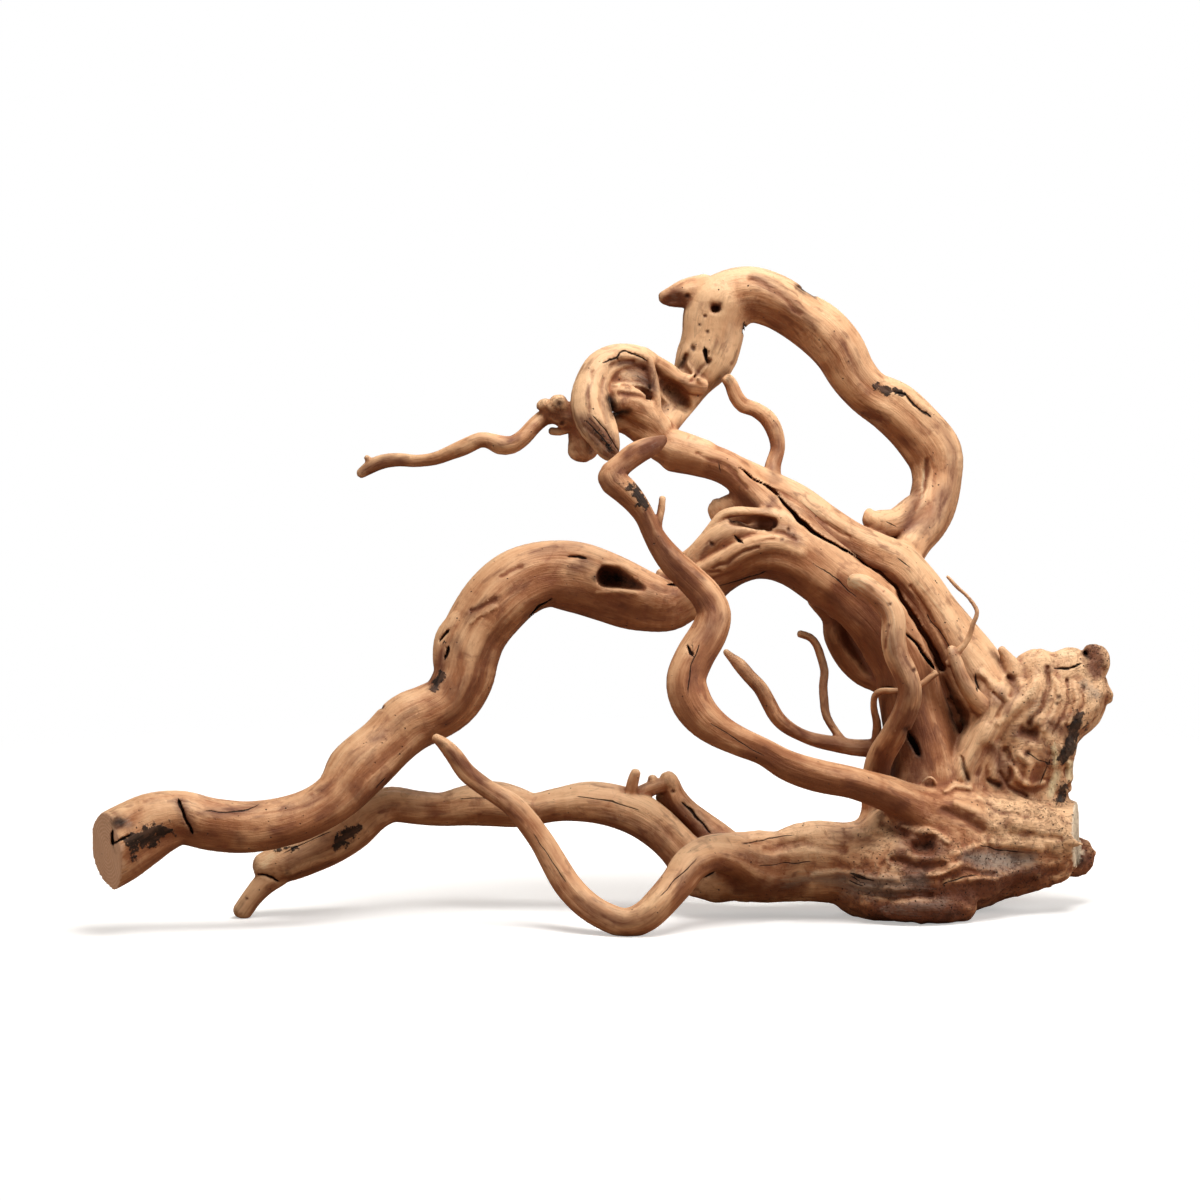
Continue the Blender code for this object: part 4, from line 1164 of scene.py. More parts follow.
@dataclass(frozen=True)
class Hook(Growth):
    """The hook at the far upper left, its torn end, the gnarl behind it and two thin twigs."""

    hook: Limb = Limb((
        (30, 143.8, 16, 4.3), (21, 146.2, 12, 6.6), (10, 145.4, 7, 8.3), (0.4, 139.6, 2, 9.8),
        (-5, 129, -3, 10.6), (-6, 118, -7, 12.2), (-4, 108, -10, 11.6), (1.2, 98.5, -12, 9.4),
        (4.6, 91, -13, 7.2), (6.4, 87, -13, 4.4),
    ), grain=Grain.THIRD, tone=0.8)
    hook_wall: Limb = Limb(((34, 103, 16, 9), (25, 112, 12, 9.5), (18, 119, 8, 9), (8, 122, 2, 9)))
    hook_back: Limb = Limb((
        (-2, 126, 6, 9), (10, 131, 13, 10.5), (22, 130.5, 20, 10.5), (34, 126, 27, 9), (46, 118, 32, 9),
    ), burl=0.4, tone=0.1)
    hook_back_stub: Limb = Limb((
        (-10, 110, 0, 10), (-10.5, 99, 4, 8), (-9.7, 89.8, 6, 8.9),
    ), burl=0.2, tone=-0.2)
    gnarl: Limb = Limb((
        (-14, 110, -2, 8), (-22, 110.5, -3, 6.5), (-28, 112.5, -4, 5), (-33.5, 117.2, -5, 4),
    ), grain=Grain.SECOND, burl=0.6, tone=-0.3)
    gnarl_knob: Limb = Limb(((-19, 111, -3, 5), (-25.5, 118, -7, 6)), burl=0.6)
    gnarl_spur: Limb = Limb(((-17, 104, 0, 3.4), (-24, 101, 0, 2.4), (-29, 101.3, 0, 2.2)))
    long_twig: Limb = Limb((
        (-22, 111, 0, 5.5), (-32, 110, -1, 4.6), (-39, 105, -4, 4.6), (-46, 97.6, -7, 5),
        (-53, 93.3, -8, 5.3), (-60, 93.4, -9, 5.6), (-66, 95.7, -10, 4.6), (-72, 96.3, -10, 4.4),
        (-81, 92.3, -10, 4.7), (-90, 88.5, -9, 4.5), (-99, 85, -7, 4.4), (-110, 83.5, -4, 4),
        (-120, 84.2, -1, 4), (-129, 83.4, 2, 4.2), (-136, 81, 4, 4.2), (-142, 77, 5, 3.2),
        (-143.5, 76, 5, 2.6),
    ), grain=Grain.FIRST, tone=-0.25)
    long_twig_nub: Limb = Limb(((-137, 82, 4, 2.8), (-140, 85.6, 4, 2.2)))
    rear_twig: Limb = Limb((
        (103, 68, 18, 5.5), (103.5, 80, 26, 4.9), (106.5, 91, 30, 4.6), (104.7, 101, 31, 4.9),
        (100, 109.3, 32, 4.9), (92.5, 114.5, 31, 4.4), (86, 116.6, 30, 4.5), (81.5, 122, 29, 4.4),
        (78.7, 129, 28, 4), (76.3, 132.5, 27, 3.7),
    ), grain=Grain.SECOND, tone=-0.25)
    marks: tuple[Mark, ...] = (
        *marks_on("hook", (
            (CRACK, ((2, 142.5, 0.2), (6, 144.5, 0.4), (10, 145, 0.4), (12, 148, 0.4), (15, 149.5, 0.35),
             (20, 148, 0.5), (25, 145, 0.4), (28, 143, 0.2)), 1.6),
            (GROOVE, ((8, 141, 2.6), (13, 143.5, 2.8), (19, 142.5, 2.4)), 2),
            (STAIN, ((6, 141, 3), (13, 143.5, 4), (20, 143, 3.4)), 0, 0.35),
        )),
        *marks_on("hook_back", (
            # Painted shade in the hook's recess
            (STAIN, ((22, 141, 4), (28, 136, 6), (31, 128, 5)), 0, 0.85),
        )),
        *marks_on("hook", (
            (GROOVE, ((-4, 137, 1.4), (-7, 126, 1.8), (-6, 112, 1.4)), 0.9, 0.7),
            (GROOVE, ((2, 133, 1.4), (0, 120, 1.8), (3, 106, 1.4)), 0.9, 0.6),
            (STAIN, ((4, 130, 2.4), (3, 116, 3), (6, 102, 3)), 0, 0.45),
        )),
        *marks_on("hook_wall", (
            (DARK, ((6, 121, 3), (9, 113, 4), (16, 113, 3)), 1, 0.9),
        )),
        *marks_on("hook_back", (
            (GREY, ((16, 134, 5), (25, 131, 6), (32, 126, 4)), 0, 0.5),
            (RIDGE, ((8, 129, 1.2), (17, 130.5, 1.4), (25, 128, 1.4), (31, 125, 1.2)), -1, 0.5),
            (FRESH, ((8, 129, 1.5), (17, 130.5, 1.6), (25, 128, 1.6), (31, 125, 1.4)), 0, 0.4),
            (GROOVE, ((12, 124, 2.2), (20, 123, 2.6), (28, 120, 2.2)), 1.6, 0.8),
        )),
        *marks_on("hook", (
            (STAIN, ((-11, 108, 4), (-2, 100, 6), (6, 92, 6), (12, 86, 4))),
            (BARK, ((-6, 104, 2), (4, 95, 2.6), (9, 88, 2.4)), -0.2, 0.6),
            (GREY, ((-8, 104, 4), (4, 93, 5)), 0, 0.3),
            (GROOVE, ((-9, 104, 1.2), (0, 96, 1.6), (8, 88, 1.2)), 1, 0.6),
            (STAIN, ((2, 88, 3), (9, 86, 3.4)), 0, 0.8),
            (CRACK, ((-8, 107, 0.2), (0, 99, 0.4), (8, 90, 0.2)), 1, 0.8),
            (CRACK, ((-4, 110, 0.2), (4, 101, 0.4), (11, 90, 0.2)), 1, 0.8),
        )),
        *marks_on("gnarl_knob", (
            (DARK, ((-25.2, 118, 2.8),), 1.2, 0.9),
        )),
        *marks_on("gnarl", (
            (PIT, ((-23, 106, 2),), 1.6),
            (STAIN, ((-19, 109, 5), (-28, 112, 5)), 0, 0.6),
        )),
        *marks_on("long_twig", (
            (STAIN, ((-50, 95, 4), (-62, 94, 4), (-74, 96, 4)), 0, 0.35),
            (STAIN, ((-118, 84, 4), (-130, 83, 4), (-142, 78, 4)), 0, 0.6),
        )),
        *marks_on("rear_twig", (
            (DARK, ((78, 131, 3), (76.5, 133, 3)), 0, 0.5),
            (STAIN, ((104, 74, 5), (106, 90, 5), (104, 102, 5)), 0, 0.5),
        )),
    )


@dataclass(frozen=True)
class FrontLimbs(Growth):
    """The limb in front that climbs in an S, the finger and the forked twig."""

    front_limb: Limb = Limb((
        (212, -134, -16, 22), (197, -128, -24, 15), (183, -121, -31, 11.4), (171, -115.5, -38, 10.2),
        (152, -109.5, -48, 9.7), (131, -105, -57, 9.7), (112, -98.3, -63, 8.9), (98, -90.7, -67, 8.1),
        (83, -84.5, -70, 9), (71, -78.5, -71, 10.2), (60.5, -70, -72, 11.4), (53.5, -59, -71, 12),
        (51.5, -47, -69, 11.7), (57, -33.5, -65, 11.6), (65.5, -20, -60, 11), (68.7, -8, -56, 10.2),
        (64, 2.5, -54, 9.5), (54.5, 12.5, -52, 8.7), (44.5, 22.3, -51, 8.2), (37, 31.5, -50, 7.2),
        (31.3, 41, -50, 6.3), (27.2, 50, -51, 6.2), (21.6, 58.5, -52, 7.1), (14.6, 66, -53, 7.9),
        (6.9, 73.3, -53, 8.2), (12.5, 81, -51, 6.9), (20.5, 87.6, -48, 6.9), (28.5, 91.8, -45, 6.2),
        (34, 94.2, -43, 4.6), (38, 96.5, -41, 2.6),
    ), grain=Grain.SECOND, tone=-0.8)
    front_limb_spur: Limb = Limb((
        (32.5, 37, -50, 4), (35, 47, -50, 2.5), (36.6, 54, -50, 2.4), (37.4, 61, -50, 2.2),
    ), tone=-0.2)
    finger: Limb = Limb((
        (167, -142, -10, 14), (167, -126, -6, 10), (165.5, -110, -10, 8.5), (168, -95, -18, 7.8),
        (176, -80.5, -28, 7.4), (182.5, -67, -36, 7.1), (185.5, -55, -41, 6.8), (183, -44.5, -43, 7),
        (178, -34, -44, 7), (176, -23, -45, 7), (176.3, -12, -44, 6.9), (173, -3, -42, 6.8),
        (166, 3.5, -38, 6.6), (158, 9.3, -35, 6), (152, 11.2, -33, 4.6),
    ), grain=Grain.FIRST, tone=0.1)
    forked_twig: Limb = Limb((
        (184, -93, 6, 9), (166, -89.5, 3, 6), (152, -88.4, 0, 5.4), (140, -86.2, -2, 4.9),
        (129, -84, -4, 4.3), (120, -80.7, -5, 4), (112, -76, -7, 4.4), (106, -70, -8, 4.5),
        (101.5, -62, -8, 4.5), (96.5, -53, -9, 4.3), (90, -46, -9, 4.2), (84, -39, -9, 4.2),
        (79, -34.5, -9, 3), (75.5, -31, -9, 2.3),
    ), grain=Grain.SECOND, tone=-0.4)
    forked_twig_side: Limb = Limb((
        (147, -87, -1, 3.6), (142, -80, 0, 2.8), (136, -70, 1, 2.5), (134.5, -60, 2, 2.4),
        (134, -51, 3, 2.4), (134.8, -43, 4, 2.4), (132.7, -34.5, 5, 2.4), (130, -27, 5, 2.4),
        (126, -22.3, 5, 2.3), (120, -20.3, 5, 2.2),
    ), grain=Grain.FIRST, tone=-0.4)
    marks: tuple[Mark, ...] = (
        *marks_on("front_limb", (
            (CRACK, ((53, -28, 0.6), (55, -32, 1)), 2),
            (STAIN, ((26, 90, 4), (33, 94, 5), (38, 97, 4))),
            (GREY, ((31, 93, 4),), 0, 0.3),
            (STAIN, ((16, 87, 3), (21, 90, 3)), 0, 0.6),
            (BARK, ((17, 70, 2.6), (22, 65, 4.4), (27, 57, 3.4)), -0.2, 0.9),
            (GREY, ((20, 66, 4), (25, 59, 4)), 0, 0.4),
            (STAIN, ((8, 72, 6), (16, 82, 5)), 0, 0.55),
            (STAIN, ((28, 50, 5), (36, 34, 6), (46, 21, 6), (56, 11, 6)), 0, 0.6),
            (STAIN, ((64, 0, 7), (68, -10, 7), (64, -22, 6)), 0, 0.55),
            (STAIN, ((56, -36, 5), (54, -50, 5), (60, -66, 5)), 0, 0.3),
            (STAIN, ((88, -92, 4), (104, -97, 4), (124, -106, 4)), 0, 0.45),
            (STAIN, ((150, -112, 4), (166, -118, 5), (180, -124, 5)), 0, 0.5),
            (CRACK, ((60, -26, 0.19), (54, -40, 0.31), (53, -56, 0.19)), 0, 0.7),
            (CRACK, ((66, -74, 0.19), (82, -84, 0.31), (98, -93, 0.19)), 0, 0.6),
        )),
        *marks_on("finger", (
            (PIT, ((149, 13, 1),), 0.8),
            (PIT, ((170, 5, 1),), 0.9),
            (PIT, ((174, -2, 1.2),), 0.9),
            (GROOVE, ((173, -16, 1.4), (171, -28, 1.6)), 0.9, 0.9),
            (PIT, ((188, -42, 1.8),), 1.2),
            (STAIN, ((186, -44, 3), (187, -56, 4)), 0, 0.6),
            (STAIN, ((176, -22, 5), (180, -38, 6), (184, -58, 6), (178, -78, 6)), 0, 0.6),
            (STAIN, ((170, -96, 6), (168, -108, 6)), 0, 0.85),
            (FRESH, ((150, 11, 4), (158, 9, 4)), 0, 0.45),
        )),
        *marks_on("forked_twig", (
            (STAIN, ((160, -89, 5), (140, -86, 5), (116, -78, 5)), 0, 0.6),
            (STAIN, ((100, -60, 5), (88, -44, 5)), 0, 0.45),
            (DARK, ((78, -33, 2.6), (76, -31, 2.4)), 0, 0.5),
        )),
        *marks_on("forked_twig_side", (
            (STAIN, ((137, -72, 4), (134, -54, 4), (134, -38, 4)), 0, 0.5),
            (DARK, ((122, -21, 2.4), (120, -20, 2.4)), 0, 0.5),
        )),
        *marks_on("finger", (
            (GREY, ((152, 10, 6), (162, 6, 6), (174, -6, 6), (177, -28, 6)), 0, 0.34),
            (FRESH, ((149, 11, 4), (156, 9, 4)), 0, 0.3),
            (STAIN, ((184, -62, 6), (178, -78, 7), (170, -96, 7)), 0, 0.35),
        )),
    )


@dataclass(frozen=True)
class LowLimbs(Growth):
    """The lower rear limb with its broken end, the front loop and the small stubs."""

    lower_limb: Limb = Limb((
        (-200.5, -161, -12, 9.2), (-189, -157.5, -11, 11.6), (-176, -151.8, -9, 12.9),
        (-161, -145, -7, 13), (-148, -137, -5, 12.6), (-137, -127.8, -3, 11.6), (-125, -122.8, -1, 10.6),
        (-110, -124.2, 0, 9.9), (-95, -125, 1, 9.7), (-80, -122.6, 2, 11.6), (-64, -121.8, 2, 13.4),
        (-52, -123.6, 1, 12.4), (-40, -125, 0, 9.6), (-25, -122.6, 0, 10.2), (-8, -121.6, 0, 11.9),
        (8, -124, -1, 12.3), (23, -129.3, -2, 12.6), (35.5, -137.5, -3, 12.6), (46, -147.5, -5, 12.2),
        (58, -160, -7, 13), (72, -166, -9, 15),
    ), grain=Grain.FIRST, tone=0.05)
    lower_limb_stub: Limb = Limb((
        (-194, -164, -12, 8), (-202, -170.5, -14, 6.8), (-209, -178.5, -16, 5.8),
        (-214.8, -186.8, -17, 5.6),
    ), grain=Grain.SECOND, tone=-0.1)
    front_loop: Limb = Limb((
        (94, -157, -20, 17), (80, -153, -32, 13), (66, -152.5, -46, 11.5), (54.5, -159, -57, 11),
        (46.7, -169.5, -65, 10.3), (37, -180.7, -72, 9.6), (27, -189.5, -75, 9), (15.5, -193.3, -75, 8.8),
        (3, -189.2, -71, 8.4), (-8.5, -182, -66, 8.2), (-19, -171.3, -60, 8), (-28, -157, -55, 7.7),
        (-35.2, -144.7, -52, 7.4), (-44.7, -131.7, -50, 7.3), (-53, -122.8, -49, 6.8),
        (-63, -116.4, -49, 5.7), (-72, -110.2, -50, 5.4), (-80.7, -103, -51, 5.4), (-87.5, -93.4, -52, 5),
        (-93.5, -86.7, -53, 3.8), (-98.5, -82.7, -54, 2.4),
    ), grain=Grain.THIRD, tone=-0.2)
    inner_stub: Limb = Limb((
        (75, -151, 2, 13), (66.5, -141.5, 4, 10.4), (58.3, -133.6, 6, 8.8), (50.4, -126, 7, 8),
        (44.8, -117.2, 7, 6.8), (41.8, -109.3, 6, 6), (40.6, -106.3, 5, 3.8),
    ), grain=Grain.THIRD, tone=-0.4)
    inner_web: Limb = Limb((
        (37, -118, 9, 4), (44, -125, 11, 6), (52, -134, 11, 7.5), (60, -144, 8, 9),
    ), tone=-0.4)
    inner_twig: Limb = Limb((
        (43, -109.5, 5, 4.6), (33, -112.4, 3, 4.4), (24, -116, 0, 4.2), (18.5, -118, -4, 3.6),
    ), grain=Grain.FIRST, tone=-0.1)
    inner_twig_end: Limb = Limb((
        (18, -119.5, -4, 3.4), (19.4, -110, -6, 3.5), (21.3, -103.6, -7, 2.8),
    ), grain=Grain.SECOND, tone=-0.2)
    inner_nub: Limb = Limb(((31.5, -111, 3, 3), (31.6, -107, 3, 2.5)))
    marks: tuple[Mark, ...] = (
        *marks_on("lower_limb", (
            (BARK, ((-158, -146, 2.6), (-153, -141.5, 4), (-147, -138.5, 3.4)), -0.3),
            (BARK, ((-151, -144, 3), (-146, -141, 2)), 0, 0.9),
            (DARK, ((-187, -163, 1.6),), 0, 0.9),
            (DARK, ((-164, -158, 1.4),), 0, 0.8),
            (BARK, ((-195, -150.5, 1.2), (-188, -149, 1.6), (-180, -149.5, 1.2)), -0.3, 0.7),
            (FRESH, ((-202, -159, 3.4), (-197, -154, 3.4)), 0, 0.6),
            (CRACK, ((-205, -165, 0.4), (-196, -166, 0.7), (-193, -168, 0.4)), 1.8),
            (CRACK, ((-190, -152, 0.19), (-176, -146, 0.37), (-160, -138, 0.19)), 0, 0.8),
        )),
        *marks_on("lower_limb_stub", (
            (PIT, ((-212, -179, 0.9),), 0.8),
        )),
        *marks_on("lower_limb", (
            (STAIN, ((-186, -156, 6), (-170, -150, 7), (-154, -143, 6)), 0, 0.5),
            (STAIN, ((-132, -124, 4), (-116, -124, 5), (-100, -127, 4)), 0, 0.4),
            (STAIN, ((-70, -126, 4), (-52, -126, 4), (-30, -125, 4)), 0, 0.35),
            (STAIN, ((2, -128, 5), (20, -134, 6), (36, -144, 6)), 0, 0.5),
            (CRACK, ((-84, -119, 0.19), (-64, -118, 0.31), (-46, -120, 0.19)), 0, 0.6),
            (CRACK, ((-14, -118, 0.19), (6, -120, 0.37), (24, -126, 0.19)), 0, 0.7),
        )),
        *marks_on("front_loop", (
            (STAIN, ((-91, -90, 2.4), (-82, -99, 3), (-72, -108, 2.6)), 0, 0.9),
            (DARK, ((-98, -83.5, 2), (-94, -86.5, 2)), 0, 0.55),
            (STAIN, ((-68, -113, 3), (-58, -119, 4), (-46, -130, 3)), 0, 0.5),
            (STAIN, ((-12, -180, 4), (2, -189, 5), (16, -194, 5), (30, -190, 5)), 0, 0.55),
            (STAIN, ((50, -168, 4), (60, -158, 5), (74, -158, 5)), 0, 0.4),
            (CRACK, ((-40, -140, 0.19), (-30, -155, 0.31), (-20, -170, 0.19)), 0, 0.7),
            (CRACK, ((36, -178, 0.19), (48, -165, 0.31), (58, -156, 0.19)), 0, 0.7),
        )),
        *marks_on("inner_stub", (
            (PIT, ((44, -115, 1.4),), 1.2),
            (CRACK, ((50, -122, 0.4), (58, -130, 0.8), (66, -139, 0.5)), 1.8),
            (DARK, ((42, -109, 3), (44, -113, 2.4)), 0, 0.6),
            (STAIN, ((50, -126, 5), (60, -136, 6), (70, -146, 6)), 0, 0.7),
        )),
        *marks_on("inner_twig_end", (
            (DARK, ((21, -104.5, 2),), 0, 0.5),
        )),
        *marks_on("inner_twig", (
            (STAIN, ((38, -111, 4), (26, -115, 4)), 0, 0.35),
        )),
    )


@dataclass(frozen=True)
class Crown(Growth):
    """The base arm and the gnarled crown that carries the weight, and the thin twigs before it."""

    base_arm: Limb = Limb((
        (57, -164, -8, 14.5), (73, -160.7, -10, 19.4), (92, -159.4, -11, 21.3), (110, -158.4, -11, 20.9),
        (128, -155.9, -12, 23.7), (148, -157.2, -12, 24.6), (168, -161, -10, 30), (188, -161, -8, 33),
    ), grain=Grain.SECOND, burl=0.25, tone=0.15)
    crown_front: Limb = Limb((
        (178, -147, -10, 26), (196, -142, -8, 29), (214, -137, -6, 27.5), (232, -137, -3, 23.5),
        (252, -137, 0, 20.8), (272, -138.5, 2, 18.7), (285, -139.5, 3, 17.5), (295, -140, 3, 15.5),
    ), grain=Grain.FIRST, burl=0.7, tone=1.25)
    crown_belly: Limb = Limb((
        (166, -165, -16, 27), (184, -163, -16, 31), (202, -161, -14, 31), (216, -160, -8, 28),
        (234, -157.5, 2, 23.5), (252, -155.5, 4, 20.5), (266, -153, 5, 18), (276, -151, 6, 14),
    ), burl=0.8, tone=-0.45)
    crown_lip: Limb = Limb((
        (164, -180, -31, 10), (182, -182, -35, 12), (200, -182, -35, 12), (214, -180, -27, 13),
    ), burl=0.8, tone=-1.2)
    crown_heel: Limb = Limb((
        (178, -158, 22, 24), (198, -160, 28, 26), (214, -156, 26, 24),
    ), burl=0.7, tone=-0.3)
    crown_core: Limb = Limb((
        (197, -118, 4, 28), (216, -112, 12, 28), (240, -104, 18, 30), (258, -96, 18, 25),
    ), burl=0.15, tone=0)
    crown_rear: Limb = Limb((
        (228, -62, 10, 20), (246, -66, 12, 26), (264, -65, 15, 27), (280, -60, 16, 23), (290, -52, 15, 14),
    ), grain=Grain.THIRD, burl=0.4, tone=0.8)
    crown_lobe_left: Limb = Limb(((262, -60, 12, 20), (262.5, -42.5, 10, 15)), burl=0.3, tone=0.7)
    crown_lobe_right: Limb = Limb(((281, -58, 16, 18), (281, -43, 13, 16.5)), burl=0.45, tone=0.8)
    crown_side: Limb = Limb((
        (246, -84, 10, 26), (262, -84, 13, 25), (266, -102, 14, 17), (266, -118, 10, 14),
    ), grain=Grain.SECOND, burl=0.6, tone=0.9)
    crown_leg: Limb = Limb((
        (240, -60, -2, 15), (233, -74, -5, 13), (225, -90, -8, 12), (219, -105, -10, 11),
        (217, -120, -9, 13),
    ), grain=Grain.SECOND, burl=0.1, tone=0.5)
    crown_spike: Limb = Limb((
        (250, -48, 6, 10), (246, -38.5, 4, 5.4), (242.5, -32, 3, 2.8), (241, -29.5, 3, 2.2),
    ), grain=Grain.FIRST, burl=0.1)
    crown_corner: Limb = Limb((
        (288, -48, 14, 12), (295.5, -38.5, 12, 9.3), (297.8, -32.4, 11, 6.6),
    ), burl=1)
    crown_point: Limb = Limb(((288, -56, 15, 14), (297.5, -56.5, 14, 8.5), (303, -57.2, 13, 4.2)), burl=1)
    crown_bark: Limb = Limb((
        (277, -72, 12, 13), (272.5, -86, 10, 10.5), (274.5, -98, 8, 9), (274, -110, 6, 8.5),
    ), burl=1, tone=-0.3)
    crown_low_lump: Limb = Limb((
        (268, -152, 20, 12), (282, -154.5, 25, 12), (287.5, -154, 27, 9.6),
    ), burl=1, tone=-1)
    crown_twig: Limb = Limb((
        (234, -68, -8, 7), (227, -61.5, -14, 5.4), (221, -54, -19, 4.9), (216, -45, -21, 4.5),
        (213, -36, -21, 4.2), (210.5, -30, -19, 3.4),
    ), grain=Grain.SECOND, tone=-0.1)
    hair_twig: Limb = Limb((
        (212, -33, -20, 3), (217, -28.5, -21, 2.1), (221.5, -22, -21, 1.8), (223.8, -14, -22, 1.7),
        (226.3, -7, -22, 1.5), (221, 1.5, -20, 1.4), (214.5, 7.5, -18, 1.3), (208.5, 14, -17, 1.1),
    ), grain=Grain.FIRST, tone=-0.2)
    side_twig: Limb = Limb((
        (213, -35, -20, 2.6), (205, -41, -21, 1.9), (197, -47.5, -21, 1.8), (188, -53.5, -20, 1.8),
        (177, -54.5, -19, 1.9), (169, -54.5, -16, 1.9), (164.8, -57.5, -13, 2), (164.2, -65, -9, 2.2),
        (166, -74, -4, 2.6), (165.6, -84, 1, 3),
    ), grain=Grain.THIRD, tone=-0.2)
    curl_twig: Limb = Limb((
        (192.5, -114, -24, 1.6), (194, -109.5, -26, 1.3), (197, -106.5, -26, 1.2), (200, -107.5, -26, 1.2),
        (201.5, -111, -24, 1.3),
    ))
    sawn_end: SawCut = SawCut((286, -139, 5), (0.975, 0, -0.22), reach=20.5, fresh=0.85)
    crown_cavity: Hollow = Hollow(
        ((207, -48, -14, 2), (211, -58, -12, 4.5), (216, -70, -12, 6), (216.5, -79, -14, 3)),
        depth=2.4)
    crown_pocket: Hollow = Hollow(((254, -79, -17, 3), (261, -80, -16, 4)), depth=2, rim=5)
    base_hollow: Hollow = Hollow(((192, -148, -43, 4), (197, -147.5, -43, 4.6)), depth=1.5, rim=6)
    marks: tuple[Mark, ...] = (
        *marks_on("base_arm", (
            (PIT, ((74.5, -156.5, 3.4),), 1.6),
            (STAIN, ((74.5, -156.5, 5),), 0, 0.9),
            (CRACK, ((62, -166, 0.4), (67, -163, 0.7), (72, -160, 0.4)), 1.2, 0.9),
            (CRACK, ((150, -164, 0.4), (156, -166, 0.9), (163, -168, 0.5)), 1.4),
            (CRACK, ((150, -169, 0.3), (157, -171, 0.6)), 0, 0.9),
            (CRACK, ((86, -146, 0.2), (100, -143, 0.35), (116, -141, 0.2)), 0, 0.7),
            (CRACK, ((96, -160, 0.2), (112, -158, 0.3), (126, -157, 0.2)), 0, 0.7),
            (GROOVE, ((100, -150, 4), (122, -147, 5), (146, -150, 4)), 1.4, 0.35),
            (RIDGE, ((92, -142, 4), (112, -141, 5), (132, -139, 4)), -1.2, 0.2),
            (STAIN, ((80, -171, 5), (100, -173, 6), (120, -171, 6)), 0, 0.6),
            (STAIN, ((84, -152, 3), (98, -155, 4), (112, -154, 3)), 0, 0.4),
            (STAIN, ((140, -140, 3), (152, -143, 5), (164, -146, 4)), 0, 0.5),
            (GREY, ((112, -170, 2.4), (128, -166, 3.4), (146, -168, 6), (162, -171, 8), (176, -170, 7)), 0,
             0.75),
            (RIDGE, ((128, -165, 3), (142, -163, 4), (160, -166, 4), (178, -168, 4)), -1.6, 0.2),
        )),
        *marks_on("crown_belly", (
            (GREY, ((150, -174, 6), (172, -172, 8), (192, -170, 7)), 0, 0.7),
            (GREY, ((220, -154, 4), (232, -156, 7), (246, -157, 7), (258, -156, 5)), 0, 0.95),
        )),
        *marks_on("crown_lip", (
            (GREY, ((170, -186, 4), (190, -184, 6), (206, -182, 6)), 0, 0.5),
        )),
        *marks_on("crown_belly", (
            (GROOVE, ((176, -156, 4), (190, -160, 6), (206, -160, 5)), 3, 0.7),
            (GROOVE, ((204, -168, 3), (218, -164, 4), (236, -164, 3)), 2.4, 0.6),
            (RIDGE, ((196, -166, 3), (206, -164, 4), (216, -158, 3)), -2.2, 0.3),
            (RIDGE, ((212, -152, 3.4), (222, -150, 4), (230, -146, 3)), -1.8, 0.3),
            (RIDGE, ((222, -168, 3), (236, -168, 4), (250, -163, 3)), -1.6, 0.2),
            (GROOVE, ((160, -174, 3), (178, -178, 4), (198, -177, 3)), 2, 0.6),
            (RIDGE, ((150, -170, 3), (168, -174, 3.6), (186, -173, 3)), -1.4, 0.2),
            # Painted shade under the crown's belly
            (DARK, ((186, -160, 3), (194, -162, 4.4), (202, -160, 3)), 0, 0.55),
            (DARK, ((184, -168, 3), (190, -170, 4)), 0, 0.6),
            (STAIN, ((180, -152, 5), (190, -166, 7), (196, -176, 6)), 0, 0.9),
            (STAIN, ((206, -178, 7), (222, -176, 8), (242, -170, 6), (262, -163, 5)), 0, 0.9),
        )),
        *marks_on("crown_lip", (
            # Painted shade on the crown's lip, its lowest underside
            (STAIN, ((166, -188, 7), (190, -190, 9), (212, -186, 8))),
            (DARK, ((196, -188, 3), (206, -190, 4), (216, -188, 3)), 0, 0.5),
        )),
        *marks_on("crown_belly", (
            (CRACK, ((228, -147, 0.2), (240, -150, 0.45), (254, -151, 0.2)), 0, 0.9),
            (CRACK, ((206, -171, 0.2), (216, -167, 0.45), (226, -165, 0.2)), 0, 0.9),
        )),
        *marks_on("crown_front", (
            (STAIN, ((180, -138, 6), (190, -146, 9), (202, -150, 7), (194, -158, 6)), 0, 0.9),
            (DARK, ((192, -148, 2.4), (197, -147.5, 3), (200, -146, 2)), 0, 0.75),
            (RIDGE, ((180, -136, 3), (190, -138.5, 3.6), (202, -139, 3.4), (209, -145, 3)), -2, 0.3),
            (GROOVE, ((170, -134, 3.4), (182, -141, 4), (188, -148, 4)), 2, 0.4),
            (GROOVE, ((206, -126, 3), (218, -131, 4), (228, -138, 4)), 1.8, 0.3),
            (RIDGE, ((214, -122, 3.4), (226, -127, 4), (236, -136, 4)), -1.4, 0.2),
            (GROOVE, ((232, -123, 1), (237, -126.5, 1.8), (242, -128, 2), (250, -128.5, 1.4), (258, -130, 2),
             (266, -132, 1)), 1.2, 0.7),
            (RIDGE, ((228, -119, 2), (238, -122, 3), (252, -124, 3), (264, -127, 2)), -1, 0.3),
            (GROOVE, ((246, -140, 3), (260, -142, 4), (276, -143, 3)), 1.6, 0.3),
            (RIDGE, ((236, -146, 3), (250, -147, 4), (264, -149, 3)), -1.6, 0.3),
            (STAIN, ((206, -128, 4), (218, -130, 5), (230, -133, 4)), 0, 0.45),
            (STAIN, ((226, -144, 3), (240, -149, 4)), 0, 0.3),
            (STAIN, ((272, -128, 3), (280, -134, 3)), 0, 0.4),
            (RIDGE, ((207, -115, 2.4), (213, -111, 3.2), (222, -113, 2.4)), -2.2, 0.3),
        )),
        *marks_on("crown_rear", (
            (RIDGE, ((230, -44, 4), (235, -49, 5)), -2.6, 0.3),
            (CRACK, ((226, -45, 0.4), (225.5, -50, 0.7), (227, -55, 0.3)), 1.2, 0.9),
            (GROOVE, ((246, -47, 3), (250, -52, 4.4), (246, -57, 3)), 2.2, 0.5),
